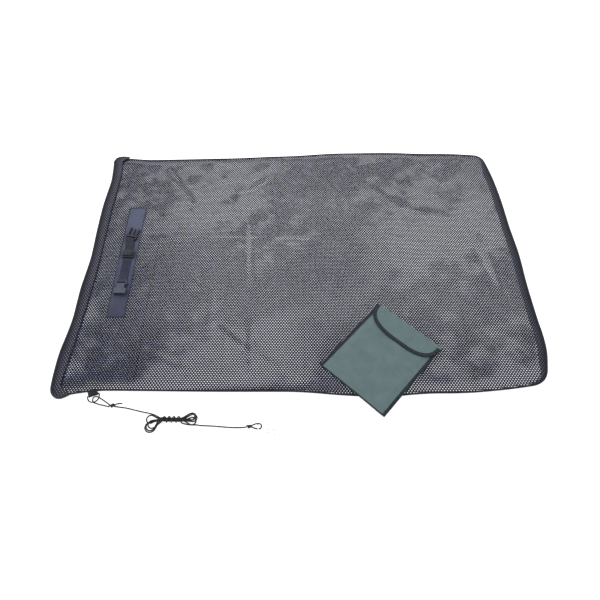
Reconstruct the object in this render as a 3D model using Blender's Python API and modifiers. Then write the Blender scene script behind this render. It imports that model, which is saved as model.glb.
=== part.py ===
"""A carp sack with its roll strap, retaining cord, snap clip and pouch, in metres.

The sack lies flat with its mouth towards -X and its underside at z = 0.
The origin is the middle of the sack.
"""
import math

import bmesh
import bpy
from mathutils import Matrix, Vector

# Gap between pieces that touch on the real object, and the distance at which loose corners are joined
CLEARANCE = 0.0003
WELD = 0.00001

# Sack of net, sewn along three sides and open at the mouth
SACK_LENGTH = 1.200
SACK_WIDTH = 0.800
NET_THICKNESS = 0.0010
NET_COLUMNS = 6
NET_ROWS = 4
NET_BAR = 0.060
NET_MARGIN = 0.015
SACK_INSIDE = 0.0080
HEM_TAPE = 0.0009
HEM_WIDTH = 0.026
HEM_REACH = 0.0355
SIDE_SEAM_WIDTH = 0.010
FOOT_SEAM_WIDTH = 0.024
FOOT_SEAM_REACH = 0.060

# How far each side of the sack bows outwards, at equal steps along it: near side, foot, far side, mouth
NEAR_BOW = (0.022, 0.006, 0.005, 0.006, 0.007, 0.007, 0.008, 0.016, 0.020, 0.012, 0.010, 0.001, -0.012)
FOOT_BOW = (-0.014, 0.004, 0.001, -0.001, 0.000, -0.006, -0.009, -0.017, -0.032)
FAR_BOW = (-0.002, 0.005, 0.006, 0.010, 0.009, 0.006, -0.003, -0.008, -0.014, -0.017, -0.020, -0.021, -0.011)
MOUTH_BOW = (-0.001, -0.010, -0.005, -0.006, -0.009, -0.003, -0.003, 0.008, 0.006)
SIDE_BOWS = (NEAR_BOW, FOOT_BOW, FAR_BOW, MOUTH_BOW)
CORNER_RADII = (0.018, 0.045, 0.035, 0.015)
LEAST_CORNER = 0.004

# Roll strap, sewn to a patch on the top panel
PATCH_LENGTH = 0.376
PATCH_WIDTH = 0.050
PATCH_THICKNESS = 0.0008
PATCH_CORNER = 0.002
PATCH_SETBACK = 0.111
PATCH_SHIFT = -0.018
WEBBING_WIDTH = 0.024
WEBBING_THICKNESS = 0.0012
STRAP_SEAM_LENGTH = 0.0664
STRAP_SEAM_SHIFT = -0.050
MALE_REACH = 0.0673
FEMALE_REACH = 0.0153
STRAP_SWAY = 0.002
STRAP_TURN = math.radians(12)
WEBBING_BEND = 0.0009

# Three-bar slider on the adjustable end
SLIDER_THICKNESS = 0.0024
SLIDER_BAR = 0.0045
SLIDER_SLOT = 0.0052
SLIDER_RIM = 0.0042
SLIDER_CORNER = 0.0030
SLIDER_SLOT_CORNER = 0.0008
SLIDER_EDGE = 0.0004
SLIDER_FROM_SEAM = 0.0013

# Side-release buckle
BUCKLE_BAR_RADIUS = 0.0018
BUCKLE_SLOT = 0.0045
BUCKLE_RIM = 0.0030
MALE_BASE_LENGTH = 0.0062
MALE_THICKNESS = 0.0054
MALE_ROUND = 0.0016
MALE_EDGE = 0.0006
PRONG_WIDTH = 0.0044
PRONG_THICKNESS = 0.0030
PRONG_SETBACK = 0.0030
PRONG_TAPER = 0.0040
ARM_THICKNESS = 0.0044
ARM_ROOT_RADIUS = 0.0022
ARM_WIDTH = 0.0034
ARM_START = 0.0012
ARM_TIP_GAP = 0.0008
ARM_ROUND = 0.0009
ARM_EDGE = 0.0004
ARM_NOSE = 0.0024
ARM_BARB = 0.0022
BARB_RISE = 0.0004
BARB_LAND = 0.0022
BARB_FALL = 0.0072
SOCKET_WIDTH = 0.0280
SOCKET_HEIGHT = 0.0052
SOCKET_DEPTH = 0.0290
SOCKET_WALL = 0.0024
FEMALE_PLATE = 0.0018
FEMALE_WAIST = 0.0210
FEMALE_ROUND = 0.0014
FEMALE_EDGE = 0.0010
SHOULDER = 0.0010
FLARE = 0.0022
WINDOW_SETBACK = 0.0004
WINDOW_LENGTH = 0.0120

# D-ring in its webbing tab at the near corner of the mouth
TAB_WIDTH = 0.0220
TAB_X = -0.507
TAB_REACH = 0.0095
RING_TURN = math.radians(20)
RING_WIRE = 0.0016
RING_REACH = 0.0200
RING_CORNER = 0.0025
RING_LEG = 0.0040
RING_TILT = math.radians(6)
BOW_STEPS = 18

# Braided cord
CORD_RADIUS = 0.0015
HANK_HEIGHT = 0.0146
HANK_EDGE = 0.0030
CORD_STEP = 0.0075

# Swivel snap clip
CLIP_PLACE = Vector((-0.1000, -0.4925, 0.0051))
CLIP_TURN = math.radians(-28)
EYE_RADIUS = 0.0100
EYE_WIRE = 0.0015
STEM_RADIUS = 0.0015
STEM_HEAD_RADIUS = 0.0026
STEM_HEAD_LENGTH = 0.0014
BOSS_LENGTH = 0.0062
BOSS_WALL = 0.0010
BOSS_END_WALL = 0.0018
BOSS_FROM_EYE = 0.0028
BOSS_EDGE = 0.0008
BOSS_NARROWING = 0.8
HOOK_WIRE = 0.0018
HOOK_HALF_WIDTH = 0.0065
HOOK_LENGTH = 0.0250
HOOK_STEP = 0.0016
HOOK_SHOULDER = 0.0075
GATE_WALL = 0.0006
GATE_WIDTH = 0.0046
GATE_HALF = 0.0013
GATE_EYE_RADIUS = 0.0021
GATE_OVERLAP = 0.0026
PIN_RADIUS = 0.0009
PIN_HEAD_RADIUS = 0.0016
PIN_HEAD_LENGTH = 0.0006
EAR_THICKNESS = 0.0010
EAR_MARGIN = 0.0013
EAR_CORNER = 0.0012
SPRING_WIRE = 0.00022
SPRING_TURNS = 3
COIL_STEPS = 12

# Storage pouch, lying on the sack
POUCH_PLACE = Vector((0.1088, -0.4064, 0.0))
POUCH_TURN = math.radians(-42)
POUCH_WIDTH = 0.197
POUCH_HEIGHT = 0.235
POUCH_CLOTH = 0.0008
POUCH_INSIDE = 0.0050
POUCH_CORNER = 0.005
BINDING = 0.0006
BINDING_WIDTH = 0.008
FLAP_DEPTH = 0.055
FLAP_SIDE = 0.010
FLAP_SLANT = 0.028
FLAP_ROUND = 0.022
FLAP_FOLD = 0.0020
STRIP_THICKNESS = 0.0007
STRIP_LENGTH = 0.080
STRIP_WIDTH = 0.020
STRIP_MARGIN = 0.004

# Ways out of the sack's sides and corners, and the points along each side: near side, foot, far side, mouth
OUTWARD = (Vector((0, -1)), Vector((1, 0)), Vector((0, 1)), Vector((-1, 0)))
CORNER_SIGNS = ((-1, -1), (1, -1), (1, 1), (-1, 1))
SIDE_STEPS = (24, 16, 24, 16)
CORNER_SHARES = (0.2, 0.4, 0.6, 0.8)

# Places on the sack that follow
PANEL_INSET = HEM_TAPE + CLEARANCE
HEM_END = HEM_REACH - SACK_LENGTH / 2
FOOT_SEAM_START = SACK_LENGTH / 2 - FOOT_SEAM_REACH
BEYOND = SACK_LENGTH

# Heights that follow
TOP_NET_BOTTOM = NET_THICKNESS + SACK_INSIDE
TOP_NET_TOP = TOP_NET_BOTTOM + NET_THICKNESS
PATCH_BOTTOM = TOP_NET_TOP + CLEARANCE
PATCH_TOP = PATCH_BOTTOM + PATCH_THICKNESS
WEBBING_BOTTOM = PATCH_TOP + CLEARANCE
WEBBING_TOP = WEBBING_BOTTOM + WEBBING_THICKNESS
PLY_STEP = WEBBING_THICKNESS + CLEARANCE
LOOP_RADIUS = BUCKLE_BAR_RADIUS + CLEARANCE + WEBBING_THICKNESS / 2
BAR_HEIGHT = LOOP_RADIUS - WEBBING_THICKNESS / 2
SLIDER_BOTTOM = PLY_STEP + CLEARANCE
SLIDER_TOP = SLIDER_BOTTOM + SLIDER_THICKNESS

# Places along the adjustable strap end, from its seam
PATCH_X = PATCH_SETBACK - SACK_LENGTH / 2
UPPER_SEAM_Y = STRAP_SEAM_SHIFT + STRAP_SEAM_LENGTH / 2
LOWER_SEAM_Y = STRAP_SEAM_SHIFT - STRAP_SEAM_LENGTH / 2
SLIDER_LENGTH = 3 * SLIDER_BAR + 2 * SLIDER_SLOT
SLIDER_WIDTH = WEBBING_WIDTH + 4 * CLEARANCE + 2 * SLIDER_RIM

# Buckle sizes that follow: the arms reach through the socket to its windows
SLOT_HALF_WIDTH = WEBBING_WIDTH / 2 + 2 * CLEARANCE
BUCKLE_HALF_WIDTH = SLOT_HALF_WIDTH + BUCKLE_RIM
BASE_START = BUCKLE_BAR_RADIUS + BUCKLE_SLOT
BASE_FRONT = BASE_START + MALE_BASE_LENGTH
SOCKET_MOUTH = BASE_START + SOCKET_WALL + SOCKET_DEPTH
ARM_LENGTH = SOCKET_DEPTH - ARM_TIP_GAP
WINDOW_START = BASE_START + SOCKET_WALL + WINDOW_SETBACK
BARB_PLACE = SOCKET_MOUTH - WINDOW_START - WINDOW_LENGTH + CLEARANCE
ARM_X = SOCKET_WIDTH / 2 - CLEARANCE - ARM_WIDTH / 2
FEMALE_THICKNESS = SOCKET_HEIGHT + 2 * FEMALE_PLATE

# Ring and tab
TAB_LOOP = RING_WIRE + CLEARANCE + WEBBING_THICKNESS / 2
TAB_LOWER_PLY = CLEARANCE + WEBBING_THICKNESS / 2
RING_HEIGHT = TAB_LOWER_PLY + TAB_LOOP
RING_HALF_WIDTH = TAB_WIDTH / 2 + CLEARANCE + RING_CORNER

# Clip
STEM_BORE = STEM_RADIUS + CLEARANCE
HEAD_BORE = STEM_HEAD_RADIUS + CLEARANCE
BOSS_RADIUS = HEAD_BORE + BOSS_WALL
BOSS_START = EYE_RADIUS + BOSS_FROM_EYE
BOSS_END = BOSS_START + BOSS_LENGTH
NOSE_X = BOSS_END + HOOK_LENGTH - HOOK_HALF_WIDTH
GATE_PIVOT_ROOM = GATE_EYE_RADIUS + 2 * CLEARANCE
GATE_PIVOT = Vector((BOSS_END + GATE_PIVOT_ROOM, -HOOK_HALF_WIDTH + HOOK_WIRE + PIN_RADIUS))
HOOK_END_X = NOSE_X - HOOK_WIRE
GATE_TIP = Vector((HOOK_END_X + GATE_OVERLAP, -HOOK_HALF_WIDTH + HOOK_WIRE + CLEARANCE + GATE_HALF))
GATE_LENGTH = (GATE_TIP - GATE_PIVOT).length
GATE_SLOPE = math.atan2(GATE_TIP.y - GATE_PIVOT.y, GATE_TIP.x - GATE_PIVOT.x)
EAR_GAP = GATE_WIDTH + 2 * CLEARANCE

# Pouch heights and places that follow
POUCH_BOTTOM = TOP_NET_TOP + CLEARANCE
BACK_BOTTOM = POUCH_BOTTOM + BINDING + CLEARANCE
BACK_TOP = BACK_BOTTOM + POUCH_CLOTH
FRONT_BOTTOM = BACK_TOP + POUCH_INSIDE
FRONT_TOP = FRONT_BOTTOM + POUCH_CLOTH
BINDING_TOP = FRONT_TOP + CLEARANCE + BINDING
LOOP_STRIP_TOP = FRONT_TOP + CLEARANCE + STRIP_THICKNESS
HOOK_STRIP_BOTTOM = max(BINDING_TOP, LOOP_STRIP_TOP) + CLEARANCE
FLAP_BOTTOM = HOOK_STRIP_BOTTOM + max(STRIP_THICKNESS, BINDING) + CLEARANCE
FLAP_TOP = FLAP_BOTTOM + POUCH_CLOTH
FLAP_ROOT = BACK_TOP + CLEARANCE
FLAP_AXIS_Z = (FLAP_ROOT + FLAP_TOP) / 2
FLAP_AXIS_Y = POUCH_HEIGHT - POUCH_CLOTH / 2
FLAP_SWEEP = math.hypot((FLAP_TOP - FLAP_ROOT) / 2, POUCH_CLOTH / 2)
FRONT_END = FLAP_AXIS_Y - FLAP_SWEEP - 2 * POUCH_CLOTH
BINDING_END = FLAP_AXIS_Y - FLAP_SWEEP - CLEARANCE
FLAP_HALF_WIDTH = POUCH_WIDTH / 2 - BINDING - CLEARANCE


def make_collection(name):
    collection = bpy.data.collections.new(name)
    bpy.context.scene.collection.children.link(collection)
    return collection


def start_scene():
    """Empty scene with one collection for the parts and one for what cuts them."""
    for stale in list(bpy.data.objects):
        bpy.data.objects.remove(stale, do_unlink=True)
    return make_collection("carp_sack"), make_collection("cutters")


PARTS, CUTTERS = start_scene()


def material(name, colour, roughness, metallic=0.0):
    finish = bpy.data.materials.new(name)
    finish.use_nodes = True
    shader = finish.node_tree.nodes["Principled BSDF"]
    shader.inputs["Base Color"].default_value = (*colour, 1.0)
    shader.inputs["Roughness"].default_value = roughness
    shader.inputs["Metallic"].default_value = metallic
    return finish


NET = material("dark_net", (0.030, 0.030, 0.042), 0.75)
TAPE = material("navy_tape", (0.020, 0.020, 0.035), 0.80)
PATCH_CLOTH = material("patch_cloth", (0.080, 0.085, 0.140), 0.80)
WEBBING = material("webbing", (0.040, 0.042, 0.075), 0.75)
TAB_WEBBING = material("tab_webbing", (0.025, 0.030, 0.032), 0.80)
PLASTIC = material("buckle_plastic", (0.045, 0.050, 0.065), 0.35)
CORD = material("braided_cord", (0.012, 0.012, 0.016), 0.80)
DARK_STEEL = material("dark_steel", (0.050, 0.050, 0.055), 0.35, 1.0)
CHROME = material("chrome", (0.800, 0.800, 0.820), 0.15, 1.0)
SPRING_STEEL = material("spring_steel", (0.450, 0.450, 0.460), 0.30, 1.0)
POUCH_FABRIC = material("pouch_cloth", (0.120, 0.190, 0.185), 0.70)
POUCH_EDGE = material("pouch_binding", (0.035, 0.055, 0.055), 0.75)
CLOSURE = material("closure_strip", (0.030, 0.035, 0.035), 0.90)


def link(name, data):
    solid = bpy.data.objects.new(name, data)
    PARTS.objects.link(solid)
    return solid


def as_mesh(shape):
    """The shape as its modifiers leave it, as a mesh object with loose caps welded."""
    name = shape.name
    evaluated = shape.evaluated_get(bpy.context.evaluated_depsgraph_get())
    mesh = bpy.data.meshes.new_from_object(evaluated)
    weld(mesh)
    solid = link(name + "_mesh", mesh)
    solid.matrix_world = shape.matrix_world
    bpy.data.objects.remove(shape)
    solid.name = name
    return solid


def weld(mesh):
    form = bmesh.new()
    form.from_mesh(mesh)
    bmesh.ops.remove_doubles(form, verts=form.verts, dist=WELD)
    form.to_mesh(mesh)
    form.free()


def smooth_shade(solid, angle=40):
    solid.data.shade_smooth()
    solid.data.set_sharp_from_angle(angle=math.radians(angle))
    return solid


def prism(name, outlines, bottom, top):
    """A flat outline filled between two heights, with any further outlines as holes in it."""
    curve = bpy.data.curves.new(name, "CURVE")
    curve.dimensions = "2D"
    curve.fill_mode = "BOTH"
    curve.extrude = (top - bottom) / 2
    for outline in outlines:
        spline = curve.splines.new("POLY")
        spline.points.add(len(outline) - 1)
        for point, place in zip(spline.points, outline):
            point.co = (place[0], place[1], 0, 1)
        spline.use_cyclic_u = True
    solid = as_mesh(link(name, curve))
    solid.data.transform(Matrix.Translation((0, 0, (top + bottom) / 2)))
    return solid


def block(name, low, high):
    """A box between two opposite corners."""
    low = Vector(low)
    high = Vector(high)
    mesh = bpy.data.meshes.new(name)
    form = bmesh.new()
    bmesh.ops.create_cube(form, size=1)
    bmesh.ops.scale(form, vec=high - low, verts=form.verts)
    bmesh.ops.translate(form, vec=(high + low) / 2, verts=form.verts)
    form.to_mesh(mesh)
    form.free()
    return link(name, mesh)


def cylinder(name, radius, length, axis="Z", centre=(0, 0, 0), sides=20):
    """A cylinder about a centre, along one axis."""
    mesh = bpy.data.meshes.new(name)
    form = bmesh.new()
    bmesh.ops.create_cone(
        form, cap_ends=True, segments=sides, radius1=radius, radius2=radius, depth=length
    )
    form.to_mesh(mesh)
    form.free()
    turns = {"X": Matrix.Rotation(math.pi / 2, 4, "Y"), "Y": Matrix.Rotation(-math.pi / 2, 4, "X")}
    mesh.transform(Matrix.Translation(centre) @ turns.get(axis, Matrix.Identity(4)))
    return smooth_shade(link(name, mesh))


def turned(name, profile, steps=24, closed=False):
    """A profile of (radius, height) points spun about Z, from the top down its outer side."""
    mesh = bpy.data.meshes.new(name)
    edges = [(index, index + 1) for index in range(len(profile) - 1)]
    if closed:
        edges.append((len(profile) - 1, 0))
    mesh.from_pydata([(radius, 0, height) for radius, height in profile], edges, [])
    solid = link(name, mesh)
    screw = solid.modifiers.new("spin", "SCREW")
    screw.steps = steps
    screw.render_steps = steps
    screw.use_merge_vertices = True
    screw.merge_threshold = WELD
    return smooth_shade(as_mesh(solid))


def wire(name, points, radius, closed=False, resolution=2):
    """A round wire or cord along a line of points."""
    curve = bpy.data.curves.new(name, "CURVE")
    curve.dimensions = "3D"
    curve.bevel_depth = radius
    curve.bevel_resolution = resolution
    curve.use_fill_caps = not closed
    spline = curve.splines.new("POLY")
    spline.points.add(len(points) - 1)
    for point, place in zip(spline.points, points):
        point.co = (*place, 1)
    spline.use_cyclic_u = closed
    return smooth_shade(as_mesh(link(name, curve)))


def ribbon(name, path, width, thickness):
    """A band of even thickness along a path of (forward, up) points, with forward along +Y."""
    curve = bpy.data.curves.new(name, "CURVE")
    curve.dimensions = "2D"
    curve.fill_mode = "NONE"
    curve.extrude = width / 2
    spline = curve.splines.new("POLY")
    spline.points.add(len(path) - 1)
    for point, place in zip(spline.points, path):
        point.co = (place[0], place[1], 0, 1)
    band = link(name, curve)
    walls = band.modifiers.new("thickness", "SOLIDIFY")
    walls.thickness = thickness
    walls.offset = 0
    walls.use_even_offset = True
    band = as_mesh(band)
    band.data.transform(Matrix(((0, 0, 1, 0), (1, 0, 0, 0), (0, 1, 0, 0), (0, 0, 0, 1))))
    return band


def bevel(solid, width, segments=2, angle=35):
    edge = solid.modifiers.new("rounded_edges", "BEVEL")
    edge.width = width
    edge.segments = segments
    edge.limit_method = "ANGLE"
    edge.angle_limit = math.radians(angle)
    return solid


def combine(solid, tool, operation):
    """The solid with a tool cut from it, joined to it or kept in common with it."""
    PARTS.objects.unlink(tool)
    CUTTERS.objects.link(tool)
    tool.hide_render = True
    tool.display_type = "WIRE"
    tool.parent = solid
    boolean = solid.modifiers.new(operation.lower(), "BOOLEAN")
    boolean.operation = operation
    boolean.object = tool
    return solid


def cut(solid, tool):
    return combine(solid, tool, "DIFFERENCE")


def join(solid, tool):
    return combine(solid, tool, "UNION")


def keep(solid, tool):
    return combine(solid, tool, "INTERSECT")


def frame(name, place, turn=0.0, tilt=0.0, carrier=None):
    """An empty on a joint's axis or at a seat, turned about Z and then tilted about its own X."""
    empty = bpy.data.objects.new(name, None)
    PARTS.objects.link(empty)
    empty.empty_display_size = 0.01
    empty.parent = carrier
    empty.location = place
    empty.rotation_euler = (tilt, 0, turn)
    return empty


def seat(solid, finish, carrier=None, place=(0, 0, 0), turn=0.0):
    """The solid in its finish, placed in the frame of what carries it."""
    solid.data.materials.clear()
    solid.data.materials.append(finish)
    solid.parent = carrier
    solid.location = place
    solid.rotation_euler = (0, 0, turn)
    return solid


def on_curve(values, share):
    """The value at a share of a row of equally spaced values, on a smooth curve through them."""
    place = min(max(share, 0.0), 1.0) * (len(values) - 1)
    index = min(int(place), len(values) - 2)
    step = place - index
    before = values[max(index - 1, 0)]
    start = values[index]
    end = values[index + 1]
    after = values[min(index + 2, len(values) - 1)]
    rise = (end - before) * step
    bend = (before * 2 - start * 5 + end * 4 - after) * step**2
    swing = (start * 3 - before - end * 3 + after) * step**3
    return (start * 2 + rise + bend + swing) * 0.5


def through(points, spacing):
    """Points a spacing apart on a smooth curve through the given ones."""
    fine = [on_curve(points, step / (len(points) * 12)) for step in range(len(points) * 12 + 1)]
    line = [fine[0]]
    walked = 0.0
    for before, after in zip(fine, fine[1:]):
        walked += (after - before).length
        if walked >= spacing:
            line.append(after)
            walked = 0.0
    if (line[-1] - fine[-1]).length < spacing / 2:
        line.pop()
    return line + [fine[-1]]


def loop_through(points, steps=4):
    """A closed smooth outline through the given points, with some steps to each."""
    ring = [points[-1], *points, points[0], points[1]]
    count = len(points) * steps
    first = 1 / (len(ring) - 1)
    last = (len(ring) - 2) / (len(ring) - 1)
    return [on_curve(ring, first + (last - first) * step / count) for step in range(count)]


def rounded(corners, radius, steps=4, closed=True):
    """The corners of a line, each turned on a curve that starts and ends a radius away."""
    points = []
    for index, corner in enumerate(corners):
        if not closed and index in (0, len(corners) - 1):
            points.append(corner)
            continue
        before = corners[index - 1] - corner
        after = corners[(index + 1) % len(corners)] - corner
        start = corner + before.normalized() * min(radius, before.length * 0.49)
        end = corner + after.normalized() * min(radius, after.length * 0.49)
        for step in range(steps + 1):
            share = step / steps
            points.append(start.lerp(corner, share).lerp(corner.lerp(end, share), share))
    return points


def rectangle(low, high, radius, steps=4):
    """A rectangle's outline with rounded corners."""
    corners = [
        Vector((low[0], low[1])),
        Vector((high[0], low[1])),
        Vector((high[0], high[1])),
        Vector((low[0], high[1])),
    ]
    return rounded(corners, radius, steps)


def arc(centre, radius, start, end, steps):
    """Points on an arc, its angles in degrees."""
    points = []
    for step in range(steps + 1):
        angle = math.radians(start + (end - start) * step / steps)
        points.append(centre + Vector((math.cos(angle), math.sin(angle))) * radius)
    return points


def mirrored(half):
    """An outline made whole from its right half, which runs from the lower end of the middle line up."""
    return half + [Vector((-point.x, point.y)) for point in reversed(half)]


def corner_point(index, inset):
    """Where the two sides that meet at a corner of the sack would cross."""
    before = (index - 1) % 4
    point = Vector((CORNER_SIGNS[index][0] * SACK_LENGTH / 2, CORNER_SIGNS[index][1] * SACK_WIDTH / 2))
    point += OUTWARD[before] * (SIDE_BOWS[before][-1] - inset)
    point += OUTWARD[index] * (SIDE_BOWS[index][0] - inset)
    return point


def side_point(side, share, inset):
    """A point at a share of one bowed side of the sack."""
    start = corner_point(side, inset)
    end = corner_point((side + 1) % 4, inset)
    bows = SIDE_BOWS[side]
    straight = bows[0] + (bows[-1] - bows[0]) * share
    return start.lerp(end, share) + OUTWARD[side] * (on_curve(bows, share) - straight)


def sack_outline(inset=0.0):
    """The sack's outline from above, drawn in by an inset."""
    points = []
    for side in range(4):
        following = (side + 1) % 4
        length = (corner_point(following, inset) - corner_point(side, inset)).length
        first = max(CORNER_RADII[side] - inset, LEAST_CORNER) / length
        last = 1 - max(CORNER_RADII[following] - inset, LEAST_CORNER) / length
        for step in range(SIDE_STEPS[side] + 1):
            points.append(side_point(side, first + (last - first) * step / SIDE_STEPS[side], inset))
        next_length = (corner_point((side + 2) % 4, inset) - corner_point(following, inset)).length
        next_first = max(CORNER_RADII[following] - inset, LEAST_CORNER) / next_length
        corner = corner_point(following, inset)
        landing = side_point(following, next_first, inset)
        leaving = points[-1]
        for step in CORNER_SHARES:
            points.append(leaving.lerp(corner, step).lerp(corner.lerp(landing, step), step))
    return points


def near_edge(x):
    """The sack's near edge at a place along it."""
    start = corner_point(0, 0.0)
    end = corner_point(1, 0.0)
    return side_point(0, (x - start.x) / (end.x - start.x), 0.0)


def net_openings():
    """A plain grid of openings in place of the fine mesh, between the hems and the seams."""
    low = Vector((HEM_END, NET_MARGIN - SACK_WIDTH / 2))
    high = Vector((FOOT_SEAM_START, SACK_WIDTH / 2 - NET_MARGIN))
    cell = Vector(((high.x - low.x) / NET_COLUMNS, (high.y - low.y) / NET_ROWS))
    half = (cell - Vector((NET_BAR, NET_BAR))) / 2
    openings = []
    for column in range(NET_COLUMNS):
        for row in range(NET_ROWS):
            centre = low + Vector(((column + 0.5) * cell.x, (row + 0.5) * cell.y))
            openings.append([centre + Vector((x * half.x, y * half.y)) for x, y in CORNER_SIGNS])
    return openings


def net_panel(name, bottom):
    """One side of the sack, cut to the sack's outline and opened by the grid."""
    seat(prism(name, [sack_outline(PANEL_INSET), *net_openings()], bottom, bottom + NET_THICKNESS), NET)


def seam(name, width, low, high):
    """A band of doubled and sewn cloth between the panels, along part of the sack's edge."""
    bottom = NET_THICKNESS + CLEARANCE
    top = TOP_NET_BOTTOM - CLEARANCE
    band = prism(name, [sack_outline(), sack_outline(width)], bottom, top)
    region = block(name + "_region", (*low, bottom - SACK_INSIDE), (*high, top + SACK_INSIDE))
    seat(keep(band, region), TAPE)


def hem(name, bottom, top, slot_bottom, slot_top):
    """Tape folded round one lip of the mouth, with a slot for the net in it."""
    band = prism(name, [sack_outline(), sack_outline(HEM_WIDTH)], bottom, top)
    region = block(name + "_region", (-BEYOND, -BEYOND, -BEYOND), (HEM_END, BEYOND, BEYOND))
    slot = prism(name + "_slot", [sack_outline(HEM_TAPE)], slot_bottom, slot_top)
    seat(cut(keep(band, region), slot), TAPE)


def sack():
    net_panel("bottom_net_panel", 0.0)
    net_panel("top_net_panel", TOP_NET_BOTTOM)
    side_start = HEM_END + CLEARANCE
    side_end = FOOT_SEAM_START - CLEARANCE
    seam("near_seam", SIDE_SEAM_WIDTH, (side_start, -BEYOND), (side_end, 0))
    seam("far_seam", SIDE_SEAM_WIDTH, (side_start, 0), (side_end, BEYOND))
    seam("foot_seam", FOOT_SEAM_WIDTH, (FOOT_SEAM_START, -BEYOND), (BEYOND, BEYOND))
    slot_bottom = TOP_NET_BOTTOM - CLEARANCE
    slot_top = TOP_NET_TOP + CLEARANCE
    hem("mouth_hem_top", slot_bottom - HEM_TAPE, slot_top + HEM_TAPE, slot_bottom, slot_top)
    slot_top = NET_THICKNESS + CLEARANCE
    hem("mouth_hem_bottom", 0.0, slot_top + HEM_TAPE, -NET_THICKNESS, slot_top)


def strap_patch():
    low = (PATCH_X - PATCH_WIDTH / 2, PATCH_SHIFT - PATCH_LENGTH / 2)
    high = (PATCH_X + PATCH_WIDTH / 2, PATCH_SHIFT + PATCH_LENGTH / 2)
    seat(prism("strap_patch", [rectangle(low, high, PATCH_CORNER)], PATCH_BOTTOM, PATCH_TOP), PATCH_CLOTH)


def strap_centre():
    low = (PATCH_X - WEBBING_WIDTH / 2, LOWER_SEAM_Y, WEBBING_BOTTOM)
    high = (PATCH_X + WEBBING_WIDTH / 2, UPPER_SEAM_Y, WEBBING_TOP)
    seat(block("strap_centre", low, high), WEBBING)


def sway(place):
    """How far the adjustable end has drifted sideways, and its heading, at a place along it."""
    start = SLIDER_FROM_SEAM + SLIDER_LENGTH + CLEARANCE
    run = MALE_REACH - start
    share = max(0.0, (place - start) / run)
    slope = math.tan(STRAP_TURN)
    drift = -STRAP_SWAY * (3 * share**2 - 2 * share**3) + slope * run * (share**3 - share**2)
    rate = (-STRAP_SWAY * (6 * share - 6 * share**2) / run) + slope * (3 * share**2 - 2 * share)
    if share > 1:
        return -STRAP_SWAY + slope * (place - MALE_REACH), slope
    return drift, rate


def swayed(band):
    """The band laid along the strap's drifting line."""
    for corner in band.data.vertices:
        drift, rate = sway(corner.co.y)
        heading = math.atan(rate)
        across = corner.co.x
        beyond = max(0.0, corner.co.y - MALE_REACH)
        centre_y = corner.co.y - beyond * (1 - math.cos(heading))
        corner.co.x = drift + across * math.cos(heading)
        corner.co.y = centre_y - across * math.sin(heading)
    return band


def adjuster_path():
    """The webbing's line: through the slider, round the buckle's bar and back into the slider."""
    ply = -WEBBING_THICKNESS / 2
    first_slot = SLIDER_FROM_SEAM + SLIDER_BAR
    second_slot = first_slot + SLIDER_SLOT + SLIDER_BAR
    outer_up = first_slot + CLEARANCE + WEBBING_THICKNESS / 2
    inner_up = outer_up + PLY_STEP
    outer_down = second_slot + SLIDER_SLOT - CLEARANCE - WEBBING_THICKNESS / 2
    inner_down = outer_down - PLY_STEP
    inner_hump = SLIDER_TOP + CLEARANCE + WEBBING_THICKNESS / 2
    outer_hump = inner_hump + PLY_STEP
    slider_end = SLIDER_FROM_SEAM + SLIDER_LENGTH + CLEARANCE
    going = [
        Vector((CLEARANCE, ply)),
        Vector((outer_up, ply)),
        Vector((outer_up, outer_hump)),
        Vector((outer_down, outer_hump)),
        Vector((outer_down, ply + PLY_STEP)),
        Vector((slider_end, ply + PLY_STEP)),
    ]
    coming = [
        Vector((inner_up, ply)),
        Vector((inner_up, inner_hump)),
        Vector((inner_down, inner_hump)),
        Vector((inner_down, ply + PLY_STEP)),
    ]
    path = rounded(going, WEBBING_BEND, 3, closed=False)
    bar = Vector((MALE_REACH, BAR_HEIGHT))
    over = Vector((MALE_REACH, BAR_HEIGHT + LOOP_RADIUS))
    path += [path[-1].lerp(over, step / 8) for step in range(1, 8)]
    path += arc(bar, LOOP_RADIUS, 90, -90, 10)
    under = path[-1]
    path += [under.lerp(coming[0], step / 8) for step in range(1, 8)]
    path += rounded([under.lerp(coming[0], 0.9), *coming], WEBBING_BEND, 3, closed=False)[1:]
    return path


def adjuster_webbing(carrier):
    band = ribbon("adjuster_webbing", adjuster_path(), WEBBING_WIDTH, WEBBING_THICKNESS)
    seat(swayed(band), WEBBING, carrier)


def slider(carrier):
    """Flat frame with two slots; the webbing passes up one and down the other."""
    half_width = SLIDER_WIDTH / 2
    outline = rectangle((-half_width, 0), (half_width, SLIDER_LENGTH), SLIDER_CORNER)
    first_low = SLIDER_BAR
    second_low = 2 * SLIDER_BAR + SLIDER_SLOT
    slots = [
        rectangle((-SLOT_HALF_WIDTH, low), (SLOT_HALF_WIDTH, low + SLIDER_SLOT), SLIDER_SLOT_CORNER, 2)
        for low in (first_low, second_low)
    ]
    plate = prism("slider", [outline, *slots], SLIDER_BOTTOM, SLIDER_TOP)
    seat(bevel(plate, SLIDER_EDGE, 1), PLASTIC, carrier)


def legs(half_width, front):
    """The right half of a buckle end whose two legs hold the webbing bar between them."""
    return [
        Vector((SLOT_HALF_WIDTH, BASE_START)),
        Vector((SLOT_HALF_WIDTH, -BUCKLE_BAR_RADIUS)),
        Vector((half_width, -BUCKLE_BAR_RADIUS)),
        Vector((half_width, front)),
    ]


def webbing_bar(name):
    return cylinder(name, BUCKLE_BAR_RADIUS, 2 * SLOT_HALF_WIDTH + BUCKLE_RIM, "X", sides=16)


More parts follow.
